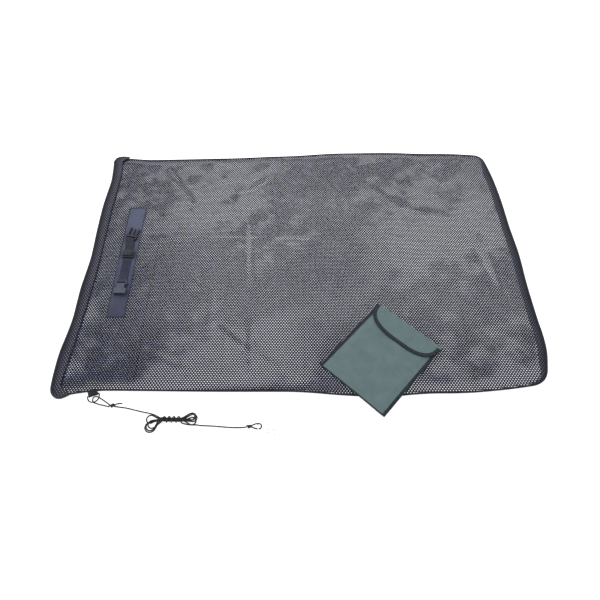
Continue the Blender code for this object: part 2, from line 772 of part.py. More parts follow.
def male_base(carrier):
    """Bar, frame and middle guide prong of the male half, with a seat for each arm's root."""
    half = legs(BUCKLE_HALF_WIDTH, BASE_FRONT)
    start = rounded([Vector((0, BASE_START)), *half, Vector((0, BASE_FRONT))], MALE_ROUND, 3, closed=False)
    solid = prism("male_buckle", [mirrored(start[1:-1])], -MALE_THICKNESS / 2, MALE_THICKNESS / 2)
    bevel(solid, MALE_EDGE)
    prong_tip = BASE_FRONT + ARM_LENGTH - PRONG_SETBACK
    prong_half = [
        Vector((PRONG_WIDTH / 2, BASE_START + MALE_BASE_LENGTH / 2)),
        Vector((PRONG_WIDTH / 2, prong_tip - PRONG_TAPER)),
        Vector((PRONG_WIDTH / 4, prong_tip)),
    ]
    prong = prism("prong", [mirrored(prong_half)], -PRONG_THICKNESS / 2, PRONG_THICKNESS / 2)
    join(solid, prong)
    join(solid, webbing_bar("male_bar"))
    for side in (-1, 1):
        seat_hole = cylinder(
            "arm_seat",
            ARM_ROOT_RADIUS + CLEARANCE,
            2 * MALE_THICKNESS,
            centre=(side * ARM_X, BASE_FRONT, 0),
        )
        cut(solid, seat_hole)
    seat(solid, PLASTIC, carrier)


def male_arm(name, side, carrier):
    """Spring arm: a round root, a straight leaf, an outward barb and a tapered nose."""
    half = ARM_WIDTH / 2
    outer = [
        Vector((half, ARM_START)),
        Vector((half, BARB_PLACE)),
        Vector((half + ARM_BARB, BARB_PLACE + BARB_RISE)),
        Vector((half + ARM_BARB, BARB_PLACE + BARB_LAND)),
        Vector((half * 0.9, BARB_PLACE + BARB_FALL)),
        Vector((-half * 0.9, ARM_LENGTH)),
    ]
    inner = [
        Vector((-half * 1.7, ARM_LENGTH - ARM_NOSE)),
        Vector((-half, BARB_PLACE + 2 * BARB_LAND)),
        Vector((-half, ARM_START)),
    ]
    outline = rounded([*outer, *inner], ARM_ROUND, 2)
    outline = [Vector((side * point.x, point.y)) for point in outline]
    if side < 0:
        outline.reverse()
    solid = prism(name, [outline], -ARM_THICKNESS / 2, ARM_THICKNESS / 2)
    root = cylinder(name + "_root", ARM_ROOT_RADIUS, ARM_THICKNESS)
    seat(join(bevel(solid, ARM_EDGE, 1), root), PLASTIC, carrier)


def lower_webbing(carrier):
    """The short strap end: a loop of webbing round the female half's bar."""
    ply = -WEBBING_THICKNESS / 2
    bar = Vector((FEMALE_REACH, BAR_HEIGHT))
    path = [Vector((CLEARANCE, ply))]
    path += arc(bar, LOOP_RADIUS, -90, 90, 10)
    landing = Vector((CLEARANCE, ply + PLY_STEP))
    rise = BAR_HEIGHT + LOOP_RADIUS - landing.y
    path += [Vector((FEMALE_REACH / 2, landing.y + rise / 3)), landing]
    seat(ribbon("lower_webbing", path, WEBBING_WIDTH, WEBBING_THICKNESS), WEBBING, carrier)


def female_buckle(carrier):
    """Hourglass housing whose socket is open at the mouth and at a window in each side of the waist.

    It lies a little above the patch, so that its heel clears the patch as it tips.
    """
    half_mouth = SOCKET_WIDTH / 2 + SOCKET_WALL
    window_end = WINDOW_START + WINDOW_LENGTH
    half = [
        Vector((0, BASE_START)),
        *legs(BUCKLE_HALF_WIDTH, BASE_START + SHOULDER),
        Vector((FEMALE_WAIST / 2, WINDOW_START + FEMALE_ROUND)),
        Vector((FEMALE_WAIST / 2, window_end - FEMALE_ROUND)),
        Vector((half_mouth, window_end + FLARE)),
        Vector((half_mouth, SOCKET_MOUTH)),
        Vector((0, SOCKET_MOUTH)),
    ]
    outline = mirrored(rounded(half, FEMALE_ROUND, 3, closed=False)[1:-1])
    low = CLEARANCE - BAR_HEIGHT - WEBBING_THICKNESS
    high = low + FEMALE_THICKNESS
    solid = prism("female_buckle", [outline], low, high)
    bevel(solid, FEMALE_EDGE)
    socket = block(
        "socket",
        (-SOCKET_WIDTH / 2, SOCKET_MOUTH - SOCKET_DEPTH, low + FEMALE_PLATE),
        (SOCKET_WIDTH / 2, SOCKET_MOUTH + SOCKET_WALL, high - FEMALE_PLATE),
    )
    cut(solid, socket)
    join(solid, webbing_bar("female_bar"))
    seat(solid, PLASTIC, carrier)


def strap():
    strap_patch()
    strap_centre()
    upper = frame("adjuster_hinge", (PATCH_X, UPPER_SEAM_Y, WEBBING_TOP))
    adjuster_webbing(upper)
    runner = frame("slider_runner", (0, SLIDER_FROM_SEAM, 0), carrier=upper)
    slider(runner)
    male = frame("male_hinge", (-STRAP_SWAY, MALE_REACH, BAR_HEIGHT), -STRAP_TURN, carrier=upper)
    male_base(male)
    for name, side in (("male_arm_left", -1), ("male_arm_right", 1)):
        root = frame(name + "_root_axis", (side * ARM_X, BASE_FRONT, 0), carrier=male)
        male_arm(name, side, root)
    lower = frame("fixed_end_hinge", (PATCH_X, LOWER_SEAM_Y, WEBBING_TOP), math.pi)
    lower_webbing(lower)
    female = frame("female_hinge", (0, FEMALE_REACH, BAR_HEIGHT), carrier=lower)
    female_buckle(female)


def tab_frame():
    """At the ring's bar, with +Y pointing away from the sack."""
    edge = near_edge(TAB_X)
    outward = Vector((math.sin(RING_TURN), -math.cos(RING_TURN)))
    place = edge + outward * TAB_REACH
    return frame("ring_hinge", (place.x, place.y, RING_HEIGHT), math.pi + RING_TURN)


def ring_tab(carrier):
    """Webbing folded round the ring's bar, both ends trimmed along the sack's edge."""
    back = -2 * TAB_REACH - TAB_WIDTH / 2
    path = [Vector((back, -TAB_LOOP))]
    path += arc(Vector((0, 0)), TAB_LOOP, -90, 90, 10)
    path += [Vector((back, TAB_LOOP))]
    band = ribbon("ring_tab", path, TAB_WIDTH, WEBBING_THICKNESS)
    sack_side = prism("sack_side", [sack_outline(-CLEARANCE)], -TAB_WIDTH, TAB_WIDTH)
    placing = Matrix.Translation(carrier.location) @ Matrix.Rotation(math.pi + RING_TURN, 4, "Z")
    sack_side.data.transform(placing.inverted())
    seat(cut(band, sack_side), TAB_WEBBING, carrier)


def d_ring(carrier):
    """Straight bar in the tab, closed by a round bow."""
    bar = [Vector((-RING_HALF_WIDTH, 0)), Vector((RING_HALF_WIDTH, 0))]
    leg = Vector((RING_HALF_WIDTH, RING_LEG))
    corners = rounded([Vector((-RING_HALF_WIDTH, RING_LEG)), *bar, leg], RING_CORNER, 4, closed=False)
    bow = []
    for step in range(1, BOW_STEPS):
        angle = math.pi * step / BOW_STEPS
        across = RING_HALF_WIDTH * math.cos(angle)
        bow.append(Vector((across, RING_LEG + (RING_REACH - RING_LEG) * math.sin(angle))))
    points = [(point.x, point.y, 0) for point in corners + bow]
    seat(wire("d_ring", points, RING_WIRE, closed=True), DARK_STEEL, carrier)


def retaining_ring():
    hinge = tab_frame()
    ring_tab(hinge)
    d_ring(frame("ring_tilt", (0, 0, 0), tilt=RING_TILT, carrier=hinge))


RING_LOOP_ROUTE = (
    (-0.4602, -0.4444, 0.0032),
    (-0.4660, -0.4428, 0.0022),
    (-0.4760, -0.4402, 0.0018),
    (-0.4860, -0.4380, 0.0018),
    (-0.4945, -0.4352, 0.0018),
    (-0.5005, -0.4325, 0.0024),
    (-0.5038, -0.4280, 0.0044),
    (-0.5015, -0.4234, 0.0068),
    (-0.4955, -0.4208, 0.0084),
    (-0.4880, -0.4222, 0.0084),
    (-0.4810, -0.4262, 0.0060),
    (-0.4740, -0.4303, 0.0038),
    (-0.4670, -0.4345, 0.0026),
    (-0.4605, -0.4394, 0.0034),
)
RING_KNOT_PLACE = (-0.4545, -0.4415, 0.0040)
RING_KNOT_SIZE = (0.0104, 0.0090, 0.0076)
KNOT_TAIL_ROUTE = (
    (-0.4510, -0.4408, 0.0045),
    (-0.4470, -0.4395, 0.0040),
    (-0.4421, -0.4368, 0.0028),
    (-0.4370, -0.4356, 0.0020),
    (-0.4310, -0.4358, 0.0018),
)
LEAD_IN_ROUTE = (
    (-0.4494, -0.4433, 0.0033),
    (-0.4430, -0.4440, 0.0019),
    (-0.4349, -0.4450, 0.0018),
    (-0.4228, -0.4466, 0.0018),
    (-0.4105, -0.4492, 0.0018),
    (-0.3985, -0.4523, 0.0018),
    (-0.3861, -0.4553, 0.0020),
    (-0.3739, -0.4583, 0.0030),
    (-0.3630, -0.4609, 0.0042),
)
HANK_OUTLINE = (
    (-0.3600, -0.4624),
    (-0.3450, -0.4662),
    (-0.3300, -0.4676),
    (-0.3000, -0.4668),
    (-0.2790, -0.4655),
    (-0.2650, -0.4583),
    (-0.2535, -0.4578),
    (-0.2498, -0.4730),
    (-0.2510, -0.4870),
    (-0.2600, -0.4905),
    (-0.2800, -0.4862),
    (-0.3000, -0.4820),
    (-0.3250, -0.4826),
    (-0.3390, -0.4890),
    (-0.3470, -0.5000),
    (-0.3570, -0.5056),
    (-0.3668, -0.5030),
    (-0.3702, -0.4950),
    (-0.3670, -0.4850),
    (-0.3690, -0.4720),
    (-0.3675, -0.4650),
)
LEAD_OUT_ROUTE = (
    (-0.2510, -0.4886, 0.0042),
    (-0.2420, -0.4894, 0.0024),
    (-0.2332, -0.4897, 0.0018),
    (-0.2208, -0.4903, 0.0018),
    (-0.2078, -0.4910, 0.0018),
    (-0.1900, -0.4926, 0.0018),
    (-0.1731, -0.4938, 0.0018),
    (-0.1600, -0.4942, 0.0018),
    (-0.1501, -0.4942, 0.0020),
    (-0.1410, -0.4938, 0.0024),
    (-0.1345, -0.4928, 0.0032),
)
CLIP_KNOT_PLACE = (-0.1285, -0.4922, 0.0040)
CLIP_KNOT_SIZE = (0.0110, 0.0086, 0.0076)
CLIP_LOOP_ROUTE = (
    (-0.1226, -0.4938, 0.0034),
    (-0.1180, -0.4952, 0.0020),
    (-0.1120, -0.4966, 0.0018),
    (-0.1060, -0.4966, 0.0020),
    (-0.1010, -0.4942, 0.0042),
    (-0.1018, -0.4904, 0.0070),
    (-0.1070, -0.4882, 0.0086),
    (-0.1130, -0.4876, 0.0084),
    (-0.1180, -0.4884, 0.0064),
    (-0.1227, -0.4900, 0.0046),
)


def cord_run(name, route):
    """A stretch of cord on a smooth line through its route."""
    points = through([Vector(place) for place in route], CORD_STEP)
    return wire(name, points, CORD_RADIUS)


def knot(name, size):
    """The outer form of a tied knot, about its middle."""
    mesh = bpy.data.meshes.new(name)
    form = bmesh.new()
    bmesh.ops.create_uvsphere(form, u_segments=16, v_segments=10, radius=0.5)
    bmesh.ops.scale(form, vec=size, verts=form.verts)
    form.to_mesh(mesh)
    form.free()
    return smooth_shade(link(name, mesh))


def cord():
    """The retaining cord from the ring to the clip."""
    seat(cord_run("ring_tie_loop", RING_LOOP_ROUTE), CORD)
    ring_knot = knot("ring_knot", RING_KNOT_SIZE)
    tail = cord_run("tail", KNOT_TAIL_ROUTE)
    tail.data.transform(Matrix.Translation(RING_KNOT_PLACE).inverted())
    seat(join(ring_knot, tail), CORD, place=RING_KNOT_PLACE)
    seat(cord_run("cord_lead_in", LEAD_IN_ROUTE), CORD)
    outline = loop_through([Vector(place) for place in HANK_OUTLINE], 2)
    hank = prism("cord_hank", [outline], CLEARANCE, HANK_HEIGHT)
    seat(bevel(hank, HANK_EDGE), CORD)
    seat(cord_run("cord_lead_out", LEAD_OUT_ROUTE), CORD)
    seat(knot("clip_knot", CLIP_KNOT_SIZE), CORD, place=CLIP_KNOT_PLACE)
    seat(cord_run("clip_tie_loop", CLIP_LOOP_ROUTE), CORD)


def along_clip(solid):
    """The turned solid with its axis laid along the clip."""
    solid.data.transform(Matrix.Rotation(math.pi / 2, 4, "Y"))
    return solid


def swivel_eye(carrier):
    """Eye ring with a stem whose riveted head is caught in the hook's boss."""
    head_end = BOSS_END - BOSS_END_WALL - CLEARANCE
    head_start = head_end - STEM_HEAD_LENGTH
    profile = [
        (0, head_end),
        (STEM_HEAD_RADIUS, head_end),
        (STEM_HEAD_RADIUS, head_start),
        (STEM_RADIUS, head_start),
        (STEM_RADIUS, EYE_RADIUS),
        (0, EYE_RADIUS),
    ]
    eye_line = [(point.x, point.y, 0) for point in arc(Vector((0, 0)), EYE_RADIUS, 0, 345, 23)]
    eye = wire("swivel_eye", eye_line, EYE_WIRE, closed=True)
    seat(join(eye, along_clip(turned("eye_stem", profile, 16))), CHROME, carrier)


def clip_hook(carrier):
    """Hollow boss round the stem's head, running on into the hook, with an ear at each side of the gate."""
    head_room = BOSS_END - BOSS_END_WALL
    head_seat = head_room - STEM_HEAD_LENGTH - 2 * CLEARANCE
    profile = [
        (0, BOSS_END),
        (BOSS_RADIUS * BOSS_NARROWING, BOSS_END),
        (BOSS_RADIUS, BOSS_END - BOSS_EDGE),
        (BOSS_RADIUS, BOSS_START + BOSS_EDGE),
        (BOSS_RADIUS * BOSS_NARROWING, BOSS_START),
        (STEM_BORE, BOSS_START),
        (STEM_BORE, head_seat),
        (HEAD_BORE, head_seat),
        (HEAD_BORE, head_room),
        (0, head_room),
    ]
    boss = along_clip(turned("clip_hook", profile, 20))
    back = HOOK_HALF_WIDTH
    line = [
        Vector((BOSS_END - HOOK_SHOULDER * 0.08, 0)),
        Vector((BOSS_END + HOOK_SHOULDER * 0.08, back * 0.06)),
        Vector((BOSS_END + HOOK_SHOULDER * 0.35, back * 0.45)),
        Vector((BOSS_END + HOOK_SHOULDER * 0.64, back * 0.85)),
        Vector((BOSS_END + HOOK_SHOULDER, back)),
    ]
    bend = through(line, HOOK_STEP)
    bend += arc(Vector((NOSE_X, 0)), back, 90, -90, 12)
    bend.append(Vector((HOOK_END_X, -back)))
    hook = wire("hook_wire", [(point.x, point.y, 0) for point in bend], HOOK_WIRE)
    join(boss, hook)
    for side in (-1, 1):
        inner = side * EAR_GAP / 2
        outer = side * (EAR_GAP / 2 + EAR_THICKNESS)
        reach = PIN_RADIUS + EAR_MARGIN
        low = Vector((BOSS_END - BOSS_END_WALL + CLEARANCE, GATE_PIVOT.y - reach))
        high = Vector((GATE_PIVOT.x + reach, 0.0))
        ear = prism("ear", [rectangle(low, high, EAR_CORNER, 3)], min(inner, outer), max(inner, outer))
        pin_hole = cylinder(
            "pin_hole", PIN_RADIUS + CLEARANCE, 4 * EAR_GAP, centre=(*GATE_PIVOT, 0), sides=14
        )
        join(boss, as_mesh(cut(ear, pin_hole)))
    seat(boss, CHROME, carrier)


def clip_gate(carrier):
    """Folded sheet gate: two side walls round the pin, joined along the outer side up to the closed tip."""
    eye = arc(Vector((0, 0)), GATE_EYE_RADIUS, 90, 270, 10)
    nose = [
        Vector((GATE_LENGTH - GATE_HALF, -GATE_HALF)),
        Vector((GATE_LENGTH, 0)),
        Vector((GATE_LENGTH - GATE_HALF, GATE_HALF)),
    ]
    gate = prism("clip_gate", [eye + nose], -GATE_WIDTH / 2, GATE_WIDTH / 2)
    inner = GATE_WIDTH / 2 - GATE_WALL
    reach = 2 * GATE_EYE_RADIUS
    pivot_room = block("pivot_room", (-reach, -reach, -inner), (GATE_EYE_RADIUS, reach, inner))
    channel = block(
        "channel",
        (0, -GATE_HALF + GATE_WALL, -inner),
        (GATE_LENGTH - 3 * GATE_HALF, reach, inner),
    )
    cut(gate, pivot_room)
    cut(gate, channel)
    cut(gate, cylinder("pin_hole", PIN_RADIUS + CLEARANCE, 2 * GATE_WIDTH, sides=14))
    seat(gate, CHROME, carrier)


def gate_pin(carrier, place):
    """Rivet through both ears and the gate."""
    shank = EAR_GAP / 2 + EAR_THICKNESS + CLEARANCE
    head = shank + PIN_HEAD_LENGTH
    profile = [
        (0, head),
        (PIN_HEAD_RADIUS, head),
        (PIN_HEAD_RADIUS, shank),
        (PIN_RADIUS, shank),
        (PIN_RADIUS, -shank),
        (PIN_HEAD_RADIUS, -shank),
        (PIN_HEAD_RADIUS, -head),
        (0, -head),
    ]
    seat(turned("gate_pin", profile, 14), CHROME, carrier, place)


def gate_spring(carrier, place):
    """Torsion coil on the pin, one leg along the gate and one against the boss."""
    radius = PIN_RADIUS + CLEARANCE + SPRING_WIRE
    half = GATE_WIDTH / 2 - GATE_WALL - CLEARANCE - SPRING_WIRE
    steps = COIL_STEPS * SPRING_TURNS + COIL_STEPS // 2
    points = [(-GATE_PIVOT_ROOM + CLEARANCE + SPRING_WIRE, -radius, -half)]
    for step in range(steps + 1):
        angle = 2 * math.pi * step / COIL_STEPS - math.pi / 2
        points.append((radius * math.cos(angle), radius * math.sin(angle), half * (2 * step / steps - 1)))
    points.append((GATE_LENGTH * 0.45, -GATE_HALF + GATE_WALL + CLEARANCE + SPRING_WIRE, half))
    seat(wire("gate_spring", points, SPRING_WIRE, resolution=1), SPRING_STEEL, carrier, place)


def clip():
    """Swivel snap clip at the end of the cord."""
    clip_frame = frame("clip_axis", CLIP_PLACE, CLIP_TURN)
    swivel_eye(clip_frame)
    clip_hook(clip_frame)
    pivot = (*GATE_PIVOT, 0)
    gate_pin(clip_frame, pivot)
    gate_spring(clip_frame, pivot)
    clip_gate(frame("gate_axis", pivot, GATE_SLOPE, carrier=clip_frame))


def pouch_panel(name, bottom, end, carrier):
    """One side of the pouch, inside its edge binding and open at the mouth."""
    edge = BINDING + CLEARANCE
    half_width = POUCH_WIDTH / 2 - edge
    outline = rectangle((-half_width, edge), (half_width, end), POUCH_CORNER)
    seat(prism(name, [outline], bottom, bottom + POUCH_CLOTH), POUCH_FABRIC, carrier)


def pouch_binding(name, low, high, inward, carrier):
    """Tape folded round one edge of both panels, with its slot facing inwards."""
    strip = block(name, (*low, POUCH_BOTTOM), (*high, BINDING_TOP))
    slot_low = Vector((*low, POUCH_BOTTOM + BINDING)) - Vector((BEYOND, BEYOND, 0))
    slot_high = Vector((*high, FRONT_TOP + CLEARANCE)) + Vector((BEYOND, BEYOND, 0))
    if inward.x > 0:
        slot_low.x = low[0] + BINDING
    if inward.x < 0:
        slot_high.x = high[0] - BINDING
    if inward.y > 0:
        slot_low.y = low[1] + BINDING
    seat(cut(strip, block(name + "_slot", slot_low, slot_high)), POUCH_EDGE, carrier)


def flap_outline(offset):
    """The flap's outline from above, about the fold line, grown by an offset."""
    half_width = FLAP_HALF_WIDTH + offset
    depth = FLAP_DEPTH + offset
    corners = [
        Vector((half_width, 2 * POUCH_CLOTH + offset)),
        Vector((-half_width, 2 * POUCH_CLOTH + offset)),
        Vector((-half_width, -FLAP_SIDE)),
        Vector((FLAP_SLANT - half_width, -depth)),
        Vector((half_width - FLAP_SLANT, -depth)),
        Vector((half_width, -FLAP_SIDE)),
    ]
    return corners[:2] + rounded(corners[1:] + corners[:1], FLAP_ROUND, 6, closed=False)[1:-1]


def pouch_flap(carrier):
    """The flap: up from the back panel at the mouth, folded over and lying on the front."""
    middle = FLAP_TOP - POUCH_CLOTH / 2 - FLAP_AXIS_Z
    path = rounded(
        [
            Vector((0, FLAP_ROOT - FLAP_AXIS_Z)),
            Vector((0, middle)),
            Vector((-2 * FLAP_DEPTH, middle)),
        ],
        FLAP_FOLD,
        4,
        closed=False,
    )
    sheet = ribbon("pouch_flap", path, 2 * POUCH_WIDTH, POUCH_CLOTH)
    seat(keep(sheet, prism("flap_shape", [flap_outline(0)], -BEYOND, BEYOND)), POUCH_FABRIC, carrier)


def flap_binding(carrier):
    """Tape folded round the flap's free edge."""
    low = FLAP_BOTTOM - FLAP_AXIS_Z - CLEARANCE
    high = FLAP_TOP - FLAP_AXIS_Z + CLEARANCE
    outlines = [flap_outline(BINDING + CLEARANCE), flap_outline(-BINDING_WIDTH)]
    band = prism("flap_binding", outlines, low - BINDING, high + BINDING)
    below_fold = block("below_fold", (-BEYOND, -BEYOND, -BEYOND), (BEYOND, -2 * FLAP_FOLD, BEYOND))
    slot = prism("flap_slot", [flap_outline(CLEARANCE)], low, high)
    seat(cut(keep(band, below_fold), slot), POUCH_EDGE, carrier)


def closure_strip(name, bottom, carrier, fold_y, origin_z):
    """One half of the hook and loop closure."""
    near = fold_y - FLAP_DEPTH + BINDING_WIDTH + STRIP_MARGIN
    low = (-STRIP_LENGTH / 2, near, bottom - origin_z)
    high = (STRIP_LENGTH / 2, near + STRIP_WIDTH, bottom + STRIP_THICKNESS - origin_z)
    seat(block(name, low, high), CLOSURE, carrier)


def pouch():
    """Flat cloth pouch with bound edges and a flap held down by hook and loop."""
    pouch_frame = frame("pouch_seat", POUCH_PLACE, POUCH_TURN)
    pouch_panel("pouch_back", BACK_BOTTOM, POUCH_HEIGHT, pouch_frame)
    pouch_panel("pouch_front", FRONT_BOTTOM, FRONT_END, pouch_frame)
    left = -POUCH_WIDTH / 2
    right = POUCH_WIDTH / 2
    inner = BINDING_WIDTH + CLEARANCE
    pouch_binding(
        "pouch_binding_left", (left, 0), (left + BINDING_WIDTH, BINDING_END), Vector((1, 0)), pouch_frame
    )
    pouch_binding(
        "pouch_binding_right", (right - BINDING_WIDTH, 0), (right, BINDING_END), Vector((-1, 0)), pouch_frame
    )
    pouch_binding(
        "pouch_binding_bottom", (left + inner, 0), (right - inner, BINDING_WIDTH), Vector((0, 1)), pouch_frame
    )
    closure_strip("loop_strip", FRONT_TOP + CLEARANCE, pouch_frame, FLAP_AXIS_Y, 0)
    flap_frame = frame("flap_hinge", (0, FLAP_AXIS_Y, FLAP_AXIS_Z), carrier=pouch_frame)
    pouch_flap(flap_frame)
    flap_binding(flap_frame)
    closure_strip("hook_strip", HOOK_STRIP_BOTTOM, flap_frame, 0, FLAP_AXIS_Z)


def main():
    sack()
    strap()
    retaining_ring()
    cord()
    clip()
    pouch()


main()
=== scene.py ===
import math

import bpy
import numpy as np
from mathutils import Matrix, Vector


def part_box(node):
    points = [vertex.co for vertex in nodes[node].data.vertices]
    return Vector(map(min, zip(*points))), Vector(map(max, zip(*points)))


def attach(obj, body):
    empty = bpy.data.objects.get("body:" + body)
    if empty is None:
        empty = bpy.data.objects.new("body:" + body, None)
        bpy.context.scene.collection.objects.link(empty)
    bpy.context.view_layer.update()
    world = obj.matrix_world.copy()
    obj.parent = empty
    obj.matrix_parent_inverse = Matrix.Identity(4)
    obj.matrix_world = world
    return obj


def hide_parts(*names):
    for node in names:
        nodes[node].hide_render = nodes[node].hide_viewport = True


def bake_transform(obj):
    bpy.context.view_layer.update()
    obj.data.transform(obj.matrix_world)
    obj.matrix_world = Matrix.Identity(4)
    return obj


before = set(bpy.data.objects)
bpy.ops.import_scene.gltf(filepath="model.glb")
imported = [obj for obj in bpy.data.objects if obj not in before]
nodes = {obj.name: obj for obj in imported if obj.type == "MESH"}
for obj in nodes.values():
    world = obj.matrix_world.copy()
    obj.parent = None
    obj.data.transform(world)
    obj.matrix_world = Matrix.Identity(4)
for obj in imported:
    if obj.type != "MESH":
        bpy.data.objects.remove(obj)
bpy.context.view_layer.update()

view = {
    "place": (-0.01225, -0.90658, 1.195),
    "tiltDegrees": 32.5,
    "lens": 32.04,
    "sensor": 36.0,
    "nearest": 0.01,
    "farthest": 60.0,
}

light = {
    "skyColour": (0.97, 0.985, 1.0, 1.0),
    "skyStrength": 0.62,
    "backdropStrength": 1.0,
    "keyPower": 42.0,
    "keySize": 2.2,
    "keyPlace": (-1.2, 1.3, 2.6),
    "floorWhite": 0.88,
    "floorRoughness": 0.9,
    "floorSpecular": 0.1,
    "floorGlow": 0.76,
    "floorSize": 14.0,
    "floorDrop": 0.0002,
}


# Materials

# Each kind of textile: the map it uses, its surface, what mixes its two colours, and its relief
textiles = {
    "cloth": {
        "map": "Object",
        "roughness": 0.8,
        "sheen": 0.3,
        "specular": 0.25,
        "blotchRange": (0.35, 0.65),
        "weaveShare": 0.16,
        "fuzz": 2400.0,
        "fuzzShare": 0.8,
        "relief": 0.5,
    },
    "band": {
        "map": "UV",
        "roughness": 0.7,
        "sheen": 0.35,
        "specular": 0.3,
        "blotch": 90.0,
        "blotchRange": (0.3, 0.7),
        "weaveShare": 0.35,
        "fuzz": 2600.0,
        "fuzzShare": 0.4,
        "relief": 0.7,
        "depth": 0.0003,
    },
    "braid": {
        "map": "UV",
        "roughness": 0.62,
        "sheen": 0.25,
        "specular": 0.4,
        "blotch": 60.0,
        "blotchRange": (0.3, 0.7),
        "weaveShare": 0.55,
        "fuzz": 2200.0,
        "fuzzShare": 0.4,
        "relief": 0.8,
        "depth": 0.0004,
    },
}
clothDepth = 0.35  # a cloth's relief, as a share of its weave's pitch
paintedSheenShare = 0.65  # how much of a sloping cloth's colour the slope gives, a painted sheen that grows towards the pale end; the blotches give the rest

# Each kind of hard finish: its surface, its wear (scale, detail, roughness) and its fine grain
hardKinds = {
    "plastic": {
        "metallic": 0.0,
        "coat": 0.05,
        "wear": (130.0, 4.0, 0.6),
        "wearRange": (0.35, 0.65),
        "rougher": (-0.06, 0.10),
        "grain": 1900.0,
        "relief": 0.18,
    },
    "metal": {
        "metallic": 1.0,
        "coat": 0.0,
        "wear": (260.0, 5.0, 0.7),
        "wearRange": (0.3, 0.7),
        "rougher": (-0.05, 0.12),
        "grain": 1500.0,
        "relief": 0.12,
    },
}

# Net folded over tape; its holes show where the sum of two waves lies in holeRange
doubled = {
    "roughness": 0.85,
    "sheen": 0.3,
    "specular": 0.25,
    "holeRange": (0.40, 1.70),
    "fuzz": 1400.0,
    "relief": 0.6,
    "depth": 0.0004,
}
netPitch = 0.00706
netRowStep = 0.00460
pouchTurn = math.radians(-42)


def addNode(tree, kind, values=None, links=None, **settings):
    node = tree.nodes.new("ShaderNode" + kind)
    for name, value in settings.items():
        setattr(node, name, value)
    for key, value in (values or {}).items():
        node.inputs[key].default_value = value
    for key, socket in (links or {}).items():
        tree.links.new(socket, node.inputs[key])
    return node


def calc(tree, operation, *terms):
    # A Math node; each term is a number or a socket
    node = addNode(tree, "Math", operation=operation)
    for index, term in enumerate(terms):
        if isinstance(term, (int, float)):
            node.inputs[index].default_value = term
        else:
            tree.links.new(term, node.inputs[index])
    return node.outputs[0]


def newMaterial(name, roughness, metallic=0.0, sheen=0.0, coat=0.0, specular=0.5):
    finish = bpy.data.materials.new(name)
    finish.use_nodes = True
    shader = finish.node_tree.nodes["Principled BSDF"]
    for socket, value in (
        ("Roughness", roughness),
        ("Metallic", metallic),
        ("Sheen Weight", sheen),
        ("Sheen Roughness", 0.4),
        ("Coat Weight", coat),
        ("Coat Roughness", 0.25),
        ("Specular IOR Level", specular),
    ):
        shader.inputs[socket].default_value = value
    return finish, finish.node_tree, shader


def coordinates(tree, source, turn=0.0):
    # Object coordinates, or the piece's own map, turned about Z
    texture = addNode(tree, "TexCoord")
    mapping = addNode(tree, "Mapping", {"Rotation": (0, 0, turn)}, {"Vector": texture.outputs[source]})
    return mapping.outputs["Vector"]


def wave(tree, place, alongX, alongY, operation="SINE"):
    # alongX and alongY are how many waves a unit of X and of Y holds
    first = calc(tree, "MULTIPLY", place.outputs["X"], 2 * math.pi * alongX)
    second = calc(tree, "MULTIPLY_ADD", place.outputs["Y"], 2 * math.pi * alongY, first)
    return calc(tree, operation, second)


def ripple(tree, vector, rates):
    # Product of two sine waves
    place = addNode(tree, "SeparateXYZ", links={"Vector": vector})
    return calc(tree, "MULTIPLY", *[wave(tree, place, *rate) for rate in rates])


def shade(tree, shader, dark, pale, factor):
    # On a Mix node of colours, inputs 6 and 7 are the colours and output 2 is the result
    colours = {6: (*dark, 1.0), 7: (*pale, 1.0)}
    mix = addNode(tree, "Mix", colours, {"Factor": factor}, data_type="RGBA")
    tree.links.new(mix.outputs[2], shader.inputs["Base Color"])


def noise(tree, vector, scale, detail=3.0, roughness=0.6):
    values = {"Scale": scale, "Detail": detail, "Roughness": roughness}
    return addNode(tree, "TexNoise", values, {"Vector": vector}).outputs["Fac"]


def spread(tree, factor, low, high):
    # Stretches the middle of a factor so that it fills 0 to 1
    values = {"From Min": low, "From Max": high}
    return addNode(tree, "MapRange", values, {"Value": factor}, clamp=True).outputs["Result"]


def between(tree, factor, low, high):
    values = {"To Min": low, "To Max": high}
    return addNode(tree, "MapRange", values, {"Value": factor}).outputs["Result"]


def bump(tree, shader, height, strength, distance):
    relief = addNode(tree, "Bump", {"Strength": strength, "Distance": distance}, {"Height": height})
    tree.links.new(relief.outputs["Normal"], shader.inputs["Normal"])


def wovenMaterial(name, kind, dark, pale, rates, turn=0.0, slope=None, **changes):
    look = {**textiles[kind], **changes}
    surface = {key: look[key] for key in ("roughness", "sheen", "specular")}
    finish, tree, shader = newMaterial(name, **surface)
    vector = coordinates(tree, look["map"], turn)
    weave = ripple(tree, vector, rates)
    blotch = spread(tree, noise(tree, vector, look["blotch"]), *look["blotchRange"])
    # Painted light: the slope makes the cloth paler along Y, a painted sheen
    if slope:
        place = addNode(tree, "SeparateXYZ", links={"Vector": vector})
        quiet = calc(tree, "MULTIPLY", blotch, 1 - paintedSheenShare)
        blotch = calc(tree, "MULTIPLY_ADD", spread(tree, place.outputs["Y"], *slope), paintedSheenShare, quiet)
    fuzz = noise(tree, vector, look["fuzz"], 2.0)
    shade(tree, shader, dark, pale, calc(tree, "MULTIPLY_ADD", weave, look["weaveShare"], blotch))
    height = calc(tree, "MULTIPLY_ADD", fuzz, look["fuzzShare"], weave)
    bump(tree, shader, height, look["relief"], look["depth"])
    return finish


def clothMaterial(name, dark, pale, pitch, blotch, **changes):
    # slope, in changes: the places along Y between which the cloth goes from dark to pale, a painted sheen
    # that grows towards the pale end
    rates = ((1 / pitch, 0), (0, 1 / pitch))
    depth = pitch * clothDepth
    return wovenMaterial(name, "cloth", dark, pale, rates, blotch=blotch, depth=depth, **changes)


def bandMaterial(name, dark, pale, ribs, picks):
    # Woven band with its own map: X runs along it and Y across it, both in metres
    return wovenMaterial(name, "band", dark, pale, ((1 / picks, 0.5 / ribs), (1 / picks, -0.5 / ribs)))


